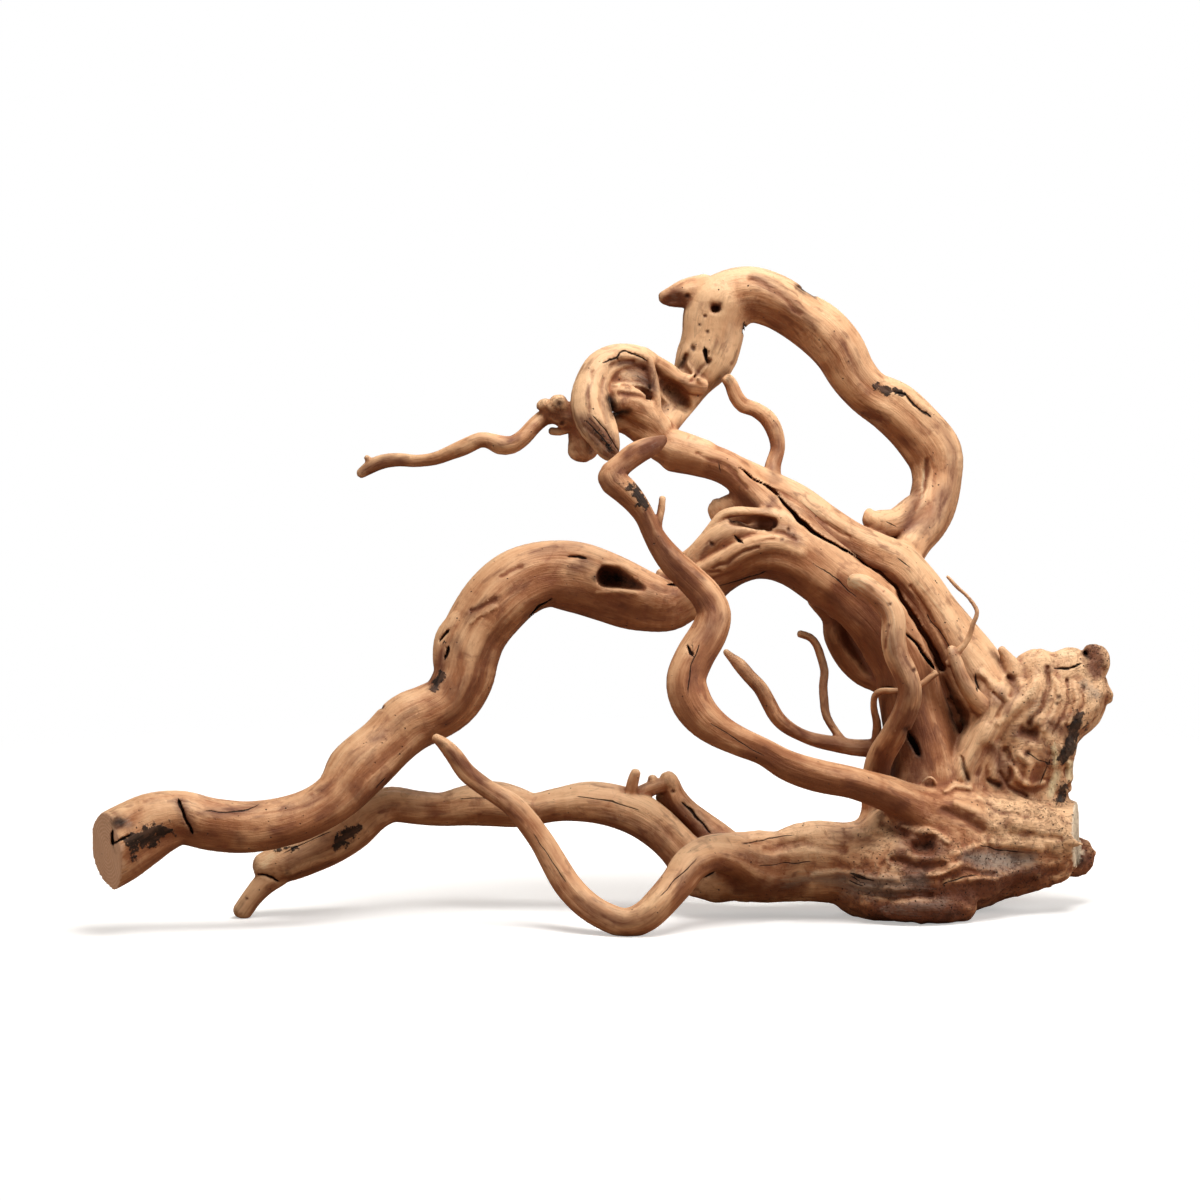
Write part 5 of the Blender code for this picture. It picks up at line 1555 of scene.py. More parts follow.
            (STAIN, ((247, -49, 4), (250, -54, 4)), 0, 0.7),
        )),
        *marks_on("crown_lobe_left", (
            (RIDGE, ((262, -36, 6), (261, -48, 6.5)), -1.6, 0.35),
        )),
        *marks_on("crown_rear", (
            (RIDGE, ((261, -48, 6), (257, -58, 6), (249, -65, 6), (241, -73, 6), (233, -84, 6)), -3.2, 0.35),
            (FRESH, ((260, -50, 3), (254, -61, 3), (243, -71, 3)), 0, 0.4),
            (GROOVE, ((268, -40, 2.6), (269, -52, 3.4), (265, -64, 3), (258, -74, 3)), 2.6, 0.7),
            (RIDGE, ((274, -48, 2), (276, -58, 2.4), (272, -68, 2.2), (266, -78, 2)), -1.6, 0.3),
            (GROOVE, ((280, -48, 1.6), (281, -60, 2), (277, -70, 2), (271, -80, 1.6)), 1.8, 0.6),
            (RIDGE, ((285, -50, 1.8), (286, -62, 2), (281, -74, 2)), -1.6, 0.3),
            (GROOVE, ((290, -52, 1.4), (290, -62, 1.8), (286, -72, 1.6)), 1.6, 0.6),
        )),
        *marks_on("crown_lobe_right", (
            (CRACK, ((273, -40.5, 0.3), (279, -41.5, 0.7), (284, -40.5, 0.7), (289, -38.5, 0.3)), 1.8, 0.9),
            (RIDGE, ((277, -33, 4), (284, -33, 4)), -1.4, 0.5),
            (FRESH, ((277, -32, 3.4), (284, -32, 3.4)), 0, 0.6),
        )),
        *marks_on("crown_corner", (
            (PIT, ((292, -32, 2.4),), 3.4),
            (DARK, ((291.5, -31, 1.8), (293, -34, 1.8)), 0, 0.95),
            (STAIN, ((294, -29, 4), (298, -34, 5), (297, -42, 5))),
        )),
        *marks_on("crown_point", (
            (GREY, ((290, -50, 3), (296, -56, 4), (299, -58, 3)), 0, 0.7),
        )),
        *marks_on("crown_rear", (
            (PIT, ((276, -58, 1.6),), 1.4, 0.9),
            (PIT, ((274.5, -62, 1.2),), 1.2, 0.9),
            (STAIN, ((236, -58, 4), (243, -64, 4), (240, -54, 3)), 0, 0.6),
            (GREY, ((262, -62, 4), (258, -70, 4)), 0, 0.45),
            (STAIN, ((270, -74, 4), (280, -80, 4)), 0, 0.7),
        )),
        *marks_on("crown_side", (
            (STAIN, ((250, -79, 3), (256, -80, 4.6), (262, -84, 3)), 0, 0.95),
            (RIDGE, ((238, -88, 5), (236, -98, 5.5), (236, -106, 4)), -2.4, 0.3),
            (DARK, ((233, -108, 1.6), (239, -111, 2.6)), 2.4, 0.85),
            (GROOVE, ((243, -90, 3), (247, -98, 3.4), (245, -108, 3)), 2.4, 0.7),
            (RIDGE, ((252, -92, 3), (258, -99, 4), (256, -110, 4)), -1.8, 0.2),
            (PIT, ((257, -92, 2.2),), 1.4, 0.8),
            (CRACK, ((257, -92, 0.2), (263, -96, 0.35), (270, -99, 0.2)), 0, 0.9),
            (CRACK, ((270, -96, 0.15), (266, -104, 0.4), (264, -110, 0.2)), 0, 0.9),
            (STAIN, ((236, -90, 4), (242, -100, 5), (243, -110, 5)), 0, 0.8),
        )),
        *marks_on("crown_bark", (
            (FRESH, ((271.5, -86, 1.2), (273.5, -93, 1.8), (273, -100, 1.6)), -0.6),
            (FRESH, ((275, -104, 1.8), (272, -110, 2.6), (270, -117, 2)), -0.6),
        )),
        *marks_on("crown_rear", (
            (BARK, ((290, -68, 2.6), (287, -74, 3.6), (284, -80, 4))),
        )),
        *marks_on("crown_side", (
            (BARK, ((284, -79, 4), (281, -88, 4), (277, -96, 2.6))),
        )),
        *marks_on("crown_bark", (
            (DARK, ((279, -84, 1.8), (278, -92, 1.6)), 1, 0.8),
            (FRESH, ((282, -99, 3), (282, -107, 3)), -1.6, 0.75),
            (BARK, ((278, -112, 2.4), (276, -119, 2.4)), 0, 0.9),
        )),
        *marks_on("crown_leg", (
            (GROOVE, ((238, -76, 2.4), (231, -90, 3), (226, -104, 3)), 1.6, 0.4),
            (RIDGE, ((231, -76, 4), (223, -92, 4.4), (217, -106, 4)), -1.8, 0.3),
            (DARK, ((217, -94, 1), (218, -101, 2), (220.5, -108, 1.8)), 2.4, 0.85),
            (STAIN, ((234, -74, 4), (226, -94, 4), (222, -108, 4)), 0, 0.4),
        )),
        *marks_on("crown_low_lump", (
            (DARK, ((283, -150, 4), (288, -156, 4.4)), 0, 0.7),
            (STAIN, ((284, -146, 5), (290, -154, 6)), 0, 0.9),
        )),
        *marks_on("crown_twig", (
            (STAIN, ((222, -56, 4), (216, -44, 4), (211, -32, 4)), 0, 0.5),
        )),
        *marks_on("hair_twig", (
            (STAIN, ((224, -16, 3), (226, -6, 3), (214, 9, 3)), 0, 0.4),
        )),
        *marks_on("side_twig", (
            (STAIN, ((200, -46, 3), (180, -55, 3)), 0, 0.4),
        )),
        *marks_on("crown_leg", (
            (DARK, ((207, -48, 1), (211, -60, 3.4), (215, -74, 4.4)), 0, 0.9),
        )),
        *marks_on("crown_lobe_right", (
            (FRESH, ((276, -30, 4), (284, -31, 4)), 0, 0.5),
        )),
        *marks_on("crown_side", (
            (RIDGE, ((246, -98, 2.4), (250, -106, 3.4), (258, -112, 3.4), (266, -110, 2.4)), -1.8, 0.3),
            (GROOVE, ((240, -103, 1.4), (246, -113, 2), (256, -118, 1.6)), 1.8, 0.9),
        )),
        *marks_on("crown_rear", (
            (GROOVE, ((236, -56, 2), (242, -62, 2.6), (238, -70, 2)), 1.8, 0.5),
        )),
    )


@dataclass(frozen=True)
class HollowCut:
    """A hollow made ready to cut: its centre line, and how much deeper than wide it is."""

    chain: Chain
    depth: float
    rim: float
    back: np.ndarray

    @classmethod
    def from_hollow(cls, hollow: Hollow, drawing: Drawing) -> HollowCut:
        """Make a hollow ready.

        Args:
            hollow: the hollow.
            drawing: the drawing that it is on.

        Returns:
            The cut.
        """
        chain = Chain(drawing, Limb(hollow.stations), 0)
        cut = cls(chain, hollow.depth, hollow.rim, drawing.back().astype(np.float32))
        chain.points = cut.squeezed(chain.points)
        chain.runs = np.diff(chain.points, axis=0)
        chain.squares = (chain.runs ** 2).sum(axis=1)
        return cut

    def squeezed(self, points: np.ndarray) -> np.ndarray:
        """Points drawn together along the view, so that a deep hollow reads as a round one."""
        deep = points @ self.back
        return points + (deep * (1 / self.depth - 1))[:, None] * self.back

    def cut(self, values: np.ndarray, points: np.ndarray, drawn: np.ndarray) -> np.ndarray:
        """Cut the hollow.

        Args:
            values: distances to the wood's surface.
            points: the points themselves.
            drawn: the points on the drawing, not used here.

        Returns:
            The new distances.
        """
        _, _, gap = self.chain.nearest(self.squeezed(points))
        joined_values, _ = joined(-values, gap, self.rim)
        return -joined_values


@dataclass(frozen=True)
class SawPlane:
    """A sawn end made ready to cut."""

    saw: SawCut
    drawing: Drawing

    def gap(self, points: np.ndarray) -> tuple[np.ndarray, np.ndarray]:
        """How far points lie beyond the cut, and how far inside its reach.

        Args:
            points: rows of x, y, z.

        Returns:
            The distance beyond the cut's plane, and the distance inside its reach.
        """
        centre = self.drawing.place(np.array((self.saw.point + (1.0,),)))[0, :3]
        across, high, deep = self.saw.faces
        faces = across * np.array((1.0, 0, 0)) + high * self.drawing.up() + deep * self.drawing.back()
        faces = (faces / np.linalg.norm(faces)).astype(np.float32)
        offset = points - centre.astype(np.float32)
        beyond = offset @ faces
        return beyond, self.saw.reach - np.linalg.norm(offset - beyond[:, None] * faces, axis=1)

    def cut(self, values: np.ndarray, points: np.ndarray, drawn: np.ndarray) -> np.ndarray:
        """Saw the end off.

        Args:
            values: distances to the wood's surface.
            points: the points themselves.
            drawn: the points on the drawing, not used here.

        Returns:
            The new distances.
        """
        return np.maximum(values, np.minimum(*self.gap(points)))


@dataclass(frozen=True)
class Root:
    """The whole root: its stretches grown together, weathered, and laid with one skin."""

    drawing: Drawing
    stretches: tuple[Growth, ...]
    lump_height: float = 0.5
    lump_width: float = 21.0
    burl_height: float = 1.35
    burl_width: float = 12.5
    knot_height: float = 0.85
    knot_width: float = 5.2
    pit_depth: float = 1.3
    pit_width: float = 3.4
    warp_height: float = 5.0
    warp_width: float = 17.0
    margin: float = 6.0
    lowest: float = -3.0
    grain_reach: float = 40.0
    grain_blend: float = 2.2
    saw_face: float = 0.7
    near: float = 12.0

    def chains(self) -> dict[str, Chain]:
        """Every limb's centre line by name, numbered from the first stretch on."""
        limbs = {name: limb for stretch in self.stretches for name, limb in stretch.parts(Limb).items()}
        return {name: Chain(self.drawing, limb, number) for number, (name, limb) in enumerate(limbs.items())}

    def cuts(self) -> list[HollowCut | Cleft | SawPlane]:
        """Every hollow, deep crack and sawn end, ready to cut."""
        return ([HollowCut.from_hollow(item, self.drawing) for item in self.every(Hollow)]
                + self.every(Cleft) + [SawPlane(item, self.drawing) for item in self.every(SawCut)])

    def every(self, kind: type) -> list:
        """Every part of one kind, from the first stretch on."""
        return [item for stretch in self.stretches for item in stretch.parts(kind).values()]

    def grow(self, chains: dict[str, Chain], strokes: list[Stroke]) -> Skin:
        """Grow the limbs into one field and weather it.

        Args:
            chains: the limbs' centre lines.
            strokes: the marks.

        Returns:
            The field.
        """
        low = np.min([chain.low for chain in chains.values()], axis=0) - self.margin
        high = np.max([chain.high for chain in chains.values()], axis=0) + self.margin
        low[2] = self.lowest
        skin = Skin(low, high, self.drawing)
        for chain in chains.values():
            skin.survey(chain)
        cuts = self.cuts()
        skin.carve_rough(cuts)
        skin.refine()
        self.weather(skin)
        for cut in cuts:
            skin.values = cut.cut(skin.values, skin.points, skin.drawn)
        for stroke in strokes:
            if stroke.mark.depth:
                near = stroke.near(skin.finder, 1.0)
                skin.values[near] = stroke.carve(skin.values[near], skin.drawn[near])
        skin.values = np.maximum(skin.values, -skin.points[:, 2])
        return skin

    def weather(self, skin: Skin) -> None:
        """Raise the skin's soft lumps, and the knots where the wood is burled.

        Args:
            skin: the field.
        """
        near = np.abs(skin.values) < LIMB_REACH
        points = skin.points[near]
        lumps = SmoothNoise(21)(points / self.lump_width) * self.lump_height
        burl = skin.burl[near]
        warp = np.column_stack([SmoothNoise(31 + axis)(points / self.warp_width) for axis in range(3)])
        warp = warp * self.warp_height
        knots = SmoothNoise(22)((points + warp) / self.burl_width)
        knots = (1 - 2 * np.abs(knots)) * self.burl_height
        small = SmoothNoise(23)((points + warp) / self.knot_width) * self.knot_height
        tiny = SmoothNoise(24)((points + warp) / self.pit_width)
        skin.values[near] -= lumps + burl * (knots + small - np.clip(tiny - 0.15, 0, 1) * self.pit_depth)

    def build(self) -> tuple[bpy.types.Object, Skin, dict[str, Chain], list[Stroke]]:
        """Build the root's skin as one mesh.

        Returns:
            The object, the field, the centre lines and the marks.
        """
        chains = self.chains()
        strokes = [Stroke.from_mark(mark, chains[mark.limb], self.drawing)
                   for stretch in self.stretches for mark in stretch.marks]
        skin = self.grow(chains, strokes)
        points, quads = largest_part(*skin.surface())
        LOG.info("skin: %d points, %d quads", len(points), len(quads))
        root = mesh_object(NODE + "_skin", points * MM, quads)
        places = point_rows(root.data, "co")
        places[:, 2] = np.maximum(places[:, 2], 0.0)
        root.data.vertices.foreach_set("co", places.ravel())
        root.data.update()
        return root, skin, chains, strokes

    def dress(self, root: bpy.types.Object, skin: Skin, chains: dict[str, Chain],
              strokes: list[Stroke]) -> None:
        """Tell each point of the skin its grain direction, what the weather did there, and how much painted
        light and shade it takes.

        Args:
            root: the root's mesh object.
            skin: the field.
            chains: the limbs' centre lines.
            strokes: the marks.
        """
        mesh = root.data
        count = len(mesh.vertices)
        points = point_rows(mesh, "co") / MM
        normals = point_rows(mesh, "normal")
        self.lay_grain(mesh, points, chains)
        drawn = self.drawing.read(points).astype(np.float32)
        finder = Finder(drawn)
        for kind in (STAIN, BARK, GREY, FRESH, DARK):
            note(mesh, kind.value, painted(strokes, kind, finder))
        sides, halves = crack_lines(strokes, finder)
        note(mesh, "crack_side", sides)
        note(mesh, "crack_half", halves)
        sawn = np.zeros(count, np.float32)
        cream = np.zeros(count, np.float32)
        for saw in self.every(SawCut):
            beyond, within = SawPlane(saw, self.drawing).gap(points)
            face = (np.abs(beyond) < self.saw_face) & (within > -1)
            sawn[face] = 1.0
            cream[face] = saw.fresh
        note(mesh, "sawn", sawn)
        note(mesh, "cream", cream)
        # Each limb's tone blended between limbs: partly the wood's own tone, partly painted light and shade
        total = np.full(count, 1e-4, np.float32)
        burl = np.zeros(count, np.float32)
        tone = np.zeros(count, np.float32)
        for chain in chains.values():
            inside = (points > chain.low - self.near) & (points < chain.high + self.near)
            near = np.flatnonzero(inside.all(axis=1))
            _, _, gap = chain.nearest(points[near])
            share = np.exp(-np.clip(gap, -2, self.near) / self.grain_blend)
            total[near] += share
            burl[near] += share * chain.limb.burl
            tone[near] += share * chain.limb.tone
        note(mesh, "burl", burl / total)
        note(mesh, "tone", tone / total)
        # How shut in each point is, which the material paints as shade
        note(mesh, "painted_crease_shade", skin.closeness(points, normals))
        note(mesh, "raised", raised(mesh, points, normals))

    def lay_grain(self, mesh: bpy.types.Mesh, points: np.ndarray, chains: dict[str, Chain]) -> None:
        """Write each point's place along the grain of the limbs round it.

        Args:
            mesh: the root's mesh.
            points: its points in millimetres.
            chains: the limbs' centre lines.
        """
        gaps = np.full((len(points), 3), NO_GRAIN, np.float32)
        for grain in (Grain.FIRST, Grain.SECOND, Grain.THIRD):
            map_values = np.zeros((len(points), 3), np.float32)
            for chain in chains.values():
                if chain.limb.grain is not grain:
                    continue
                inside = (points > chain.low - self.grain_reach) & (points < chain.high + self.grain_reach)
                near = np.flatnonzero(inside.all(axis=1))
                stretch, share, gap = chain.nearest(points[near])
                better = gap < gaps[near, grain.value]
                picked = near[better]
                local, _ = chain.local(points[picked], stretch[better], share[better])
                map_values[picked] = local + np.array(GRAIN_SHIFT, np.float32) * chain.number
                gaps[picked, grain.value] = gap[better]
            note(mesh, f"grain_{grain.name.lower()}", map_values)
        shares = np.exp(-(gaps - gaps.min(axis=1)[:, None]) / self.grain_blend)
        note(mesh, "grain_share", shares / shares.sum(axis=1)[:, None])


def painted(strokes: list[Stroke], kind: Kind, finder: Finder) -> np.ndarray:
    """How strongly marks of one kind colour each point.

    Args:
        strokes: the marks.
        kind: the colour; cracks, pits and grooves count as dark ones, as painted shade in them, and ridges as
            fresh wood.
        finder: the points on the drawing.

    Returns:
        A strength from 0 to 1 for each point.
    """
    values = np.zeros(len(finder.drawn), np.float32)
    # Pits, grooves and cracks also take the dark and stain colours: painted shade in them
    also = {Kind.DARK: {Kind.PIT: 0.7}, Kind.STAIN: {Kind.GROOVE: 0.55, Kind.PIT: 0.6, Kind.CRACK: 0.4},
            Kind.FRESH: {Kind.RIDGE: 0.3}}.get(kind, {})
    for stroke in strokes:
        if stroke.mark.kind is kind:
            share, margin = 1.0, 0.6
        elif stroke.mark.kind in also:
            share, margin = also[stroke.mark.kind], 0.3
        else:
            continue
        spread = 0.7 + (1.1 if kind is Kind.BARK else margin) * float(stroke.path[:, 2].max())
        near = stroke.near(finder, spread)
        gap, half, _, _ = stroke.distance(finder.drawn[near])
        soft = np.clip((half + spread - gap) / (2 * spread), 0, 1) * share * stroke.mark.strength
        values[near] = np.maximum(values[near], soft)
    return values


def crack_lines(strokes: list[Stroke], finder: Finder) -> tuple[np.ndarray, np.ndarray]:
    """Where each point lies by the nearest crack, so that the material can draw it finer than the skin.

    Args:
        strokes: the marks.
        finder: the points on the drawing.

    Returns:
        The signed distance to the crack's line, and half its width, which falls off past its ends.
    """
    sides = np.full(len(finder.drawn), NO_CRACK[0], np.float32)
    halves = np.full(len(finder.drawn), NO_CRACK[1], np.float32)
    nearest = np.full(len(finder.drawn), CRACK_REACH, np.float32)
    for stroke in strokes:
        if stroke.mark.kind is not CRACK:
            continue
        near = stroke.near(finder, CRACK_REACH)
        gap, half, side, past = stroke.distance(finder.drawn[near])
        better = gap < nearest[near]
        picked = near[better]
        nearest[picked] = gap[better]
        sides[picked] = side[better]
        halves[picked] = (half * stroke.mark.strength - 0.5 * past)[better]
    return sides, halves


def raised(mesh: bpy.types.Mesh, points: np.ndarray, normals: np.ndarray) -> np.ndarray:
    """How far each point stands out from the skin around it: ridges above 0.5, grooves below.

    Args:
        mesh: the root's mesh.
        points: its points in millimetres.
        normals: the normals there.

    Returns:
        A value from 0 to 1 for each point.
    """
    pairs = np.empty(len(mesh.edges) * 2, np.int32)
    mesh.edges.foreach_get("vertices", pairs)
    pairs = pairs.reshape(-1, 2)
    degree = np.bincount(pairs.ravel(), minlength=len(points))[:, None]
    smooth = points.copy()
    for _ in range(SMOOTHINGS):
        total = np.zeros_like(smooth, dtype=np.float64)
        for axis in range(3):
            total[:, axis] = (np.bincount(pairs[:, 0], smooth[pairs[:, 1], axis], len(points))
                              + np.bincount(pairs[:, 1], smooth[pairs[:, 0], axis], len(points)))
        smooth = (smooth * (1 - SMOOTHING) + total / degree * SMOOTHING).astype(np.float32)
    stand = ((points - smooth) * normals).sum(axis=1)
    return np.clip(0.5 + stand / FULL_STAND, 0, 1).astype(np.float32)


def largest_part(points: np.ndarray, quads: np.ndarray) -> tuple[np.ndarray, np.ndarray]:
    """Keep the biggest connected part of a skin.

    Args:
        points: the skin's points.
        quads: its quads.

    Returns:
        The part's points and quads.
    """
    label = np.arange(len(points))
    pairs = np.vstack((quads[:, (0, 1)], quads[:, (1, 2)], quads[:, (2, 3)]))
    while len(pairs):
        np.minimum.at(label, pairs.max(axis=1), pairs.min(axis=1))
        while (label[label] != label).any():
            label = label[label]
        pairs = label[pairs]
        pairs = pairs[pairs[:, 0] != pairs[:, 1]]
    keep = label == np.bincount(label).argmax()
    number = np.cumsum(keep) - 1
    return points[keep], number[quads[keep[quads[:, 0]]]]


def mesh_object(name: str, points: np.ndarray, quads: np.ndarray) -> bpy.types.Object:
    """Make a smooth-shaded mesh object of quads, cut down to the triangles that it may have.

    Args:
        name: the object's name.
        points: its points in metres.
        quads: its quads.

    Returns:
        The object.
    """
    mesh = bpy.data.meshes.new(name)
    mesh.vertices.add(len(points))
    mesh.vertices.foreach_set("co", points.astype(np.float32).ravel())
    mesh.loops.add(quads.size)
    mesh.loops.foreach_set("vertex_index", quads.astype(np.int32).ravel())
    mesh.polygons.add(len(quads))
    mesh.polygons.foreach_set("loop_start", np.arange(0, quads.size, 4, dtype=np.int32))
    mesh.polygons.foreach_set("loop_total", np.full(len(quads), 4, np.int32))
    mesh.update(calc_edges=True)
    mesh.validate()
    thing = linked(name, mesh)
    thin = thing.modifiers.new("thin", "DECIMATE")
    thin.ratio = min(1.0, SKIN_TRIANGLES / (2 * len(quads)))
    graph = bpy.context.evaluated_depsgraph_get()
    finer = bpy.data.meshes.new_from_object(thing.evaluated_get(graph))
    thing.modifiers.clear()
    thing.data = finer
    bpy.data.meshes.remove(mesh)
    finer.name = name
    finer.polygons.foreach_set("use_smooth", np.ones(len(finer.polygons), bool))
    LOG.info("mesh: %d points, %d faces", len(finer.vertices), len(finer.polygons))
    return thing


def point_rows(mesh: bpy.types.Mesh, what: str) -> np.ndarray:
    """Read a mesh's points.

    Args:
        mesh: the mesh.
        what: "co" for where they are, "normal" for the normals there.

    Returns:
        A row of three numbers a point.
    """
    rows = np.empty(len(mesh.vertices) * 3, np.float32)
    mesh.vertices.foreach_get(what, rows)
    return rows.reshape(-1, 3)


def linked(name: str, data: bpy.types.ID) -> bpy.types.Object:
    """Make an object and put it in the scene.

    Args:
        name: the object's name.
        data: its mesh, light or camera.

    Returns:
        The object.
    """
    thing = bpy.data.objects.new(name, data)
    bpy.context.scene.collection.objects.link(thing)
    return thing


def note(mesh: bpy.types.Mesh, name: str, values: np.ndarray) -> None:
    """Give a mesh one number a point, or one vector.

    Args:
        mesh: the mesh.
        name: the number's name, which the material reads.
        values: the numbers, or rows of three.
    """
    kind, slot = ("FLOAT", "value") if values.ndim == 1 else ("FLOAT_VECTOR", "vector")
    mesh.attributes.new(name, kind, "POINT").data.foreach_set(slot, values.astype(np.float32).ravel())


def linear(hex_colour: str, alpha: float = 1.0) -> tuple[float, float, float, float]:
    """Turn an sRGB hex colour into the linear one that a shader takes.

    Args:
        hex_colour: the colour, as "#rrggbb".
        alpha: its alpha.

    Returns:
        Red, green, blue and alpha.
    """
    parts = [int(hex_colour[place:place + 2], 16) / 255 for place in (1, 3, 5)]
    red, green, blue = (part / 12.92 if part <= 0.04045 else ((part + 0.055) / 1.055) ** 2.4
                        for part in parts)
    return red, green, blue, alpha


def add(tree: bpy.types.NodeTree, kind: str, inputs: dict | None = None, output: str = "",
        **settings: object) -> Socket:
    """Add a node with its settings and links.

    Args:
        tree: the node tree.
        kind: the node's type.
        inputs: what each input takes, by name or number: another node's output, or a plain value.
        output: the name of the output wanted, or none for the first one in use.
        settings: the node's own settings.

    Returns:
        The output, or the first input of a node that has none.
    """
    item = tree.nodes.new(kind)
    for name, value in settings.items():
        setattr(item, name, value)
    for name, value in (inputs or {}).items():
        open_sockets = [socket for socket in item.inputs if socket.enabled]
        socket = (item.inputs[name] if isinstance(name, int)
                  else next(socket for socket in open_sockets if socket.name == name))
        if isinstance(value, Socket):
            tree.links.new(value, socket)
        else:
            socket.default_value = value
    if not item.outputs:
        return item.inputs[0]
    return next(socket for socket in item.outputs if socket.enabled and output in ("", socket.name))


@dataclass(frozen=True)
class Shading:
    """A material's nodes, and the ways in which the wood's patterns are put together."""

    tree: bpy.types.NodeTree

    def read(self, name: str, output: str = "Fac") -> Socket:
        """A number that the skin's points carry, or a vector for the output Vector."""
        return add(self.tree, "ShaderNodeAttribute", output=output, attribute_name=name)

    def math(self, operation: str, *values: Socket | float, **settings: bool) -> Socket:
        """One sum of patterns and numbers."""
        return add(self.tree, "ShaderNodeMath", dict(enumerate(values)), operation=operation, **settings)

    def noise(self, where: Socket, size_mm: float, detail: float, rough: float, twist: float = 0.0) -> Socket:
        """Cloudy noise.

        Args:
            where: the place, in metres.
            size_mm: how wide its clouds are.
            detail: how many finer clouds lie in them.
            rough: how strong those are.
            twist: how twisted it is.

        Returns:
            The noise.
        """
        return add(self.tree, "ShaderNodeTexNoise",
                   {"Vector": where, "Scale": 1000 / size_mm, "Detail": detail, "Roughness": rough,
                    "Distortion": twist})

    def ramp(self, value: Socket, low: float, high: float, start: float = 0.0, end: float = 1.0) -> Socket:
        """Turn the stretch of a pattern from low to high into one from start to end.

        Args:
            value: the pattern.
            low: where the stretch begins.
            high: where it ends.
            start: what it gives up to there.
            end: what it gives from there on.

        Returns:
            The new pattern.
        """
        return add(self.tree, "ShaderNodeMapRange", {"Value": value, "From Min": low, "From Max": high,
                                                     "To Min": start, "To Max": end})

    def ragged(self, mask: Socket, noise: Socket, low: float, high: float, fray: float,
               most: float) -> Socket:
        """A painted mask with its edge frayed by noise.

        Args:
            mask: the painted mask.
            noise: what frays it.
            low: where it begins.
            high: where it is full.
            fray: how much it is frayed.
            most: its strength where full.

        Returns:
            The frayed mask.
        """
        frayed = self.sum((mask, 1.0), (noise, fray))
        frayed = self.ramp(frayed, low + fray * 0.5, high + fray * 0.5, 0.0, most)
        return self.math("MULTIPLY", frayed, self.ramp(mask, 0.0, 0.2))

    def sum(self, *parts: tuple[Socket, float]) -> Socket:
        """Add patterns up, each with its weight.

        Args:
            parts: each pattern and its weight.

        Returns:
            The sum.
        """
        total = 0.0
        for value, weight in parts:
            total = self.math("MULTIPLY_ADD", value, weight, total)
        return total

    def blend(self, share: Socket, first: Socket | str, second: Socket | str) -> Socket:
        """Mix a colour into another.

        Args:
            share: how much of the second.
            first: the colour that is there, or its hex.
            second: the colour added, or its hex.

        Returns:
            The mixed colour.
        """
        first, second = (linear(item) if isinstance(item, str) else item for item in (first, second))
        return add(self.tree, "ShaderNodeMix", {"Factor": share, "A": first, "B": second}, data_type="RGBA")


@dataclass(frozen=True)
class Patterns:
    """The patterns that the wood's colour, relief and gloss are made from."""

    place: Socket
    fibre: Socket
    rings: Socket
    fleck: Socket
    blotch: Socket
    speck: Socket
    raised: Socket
    burl: Socket



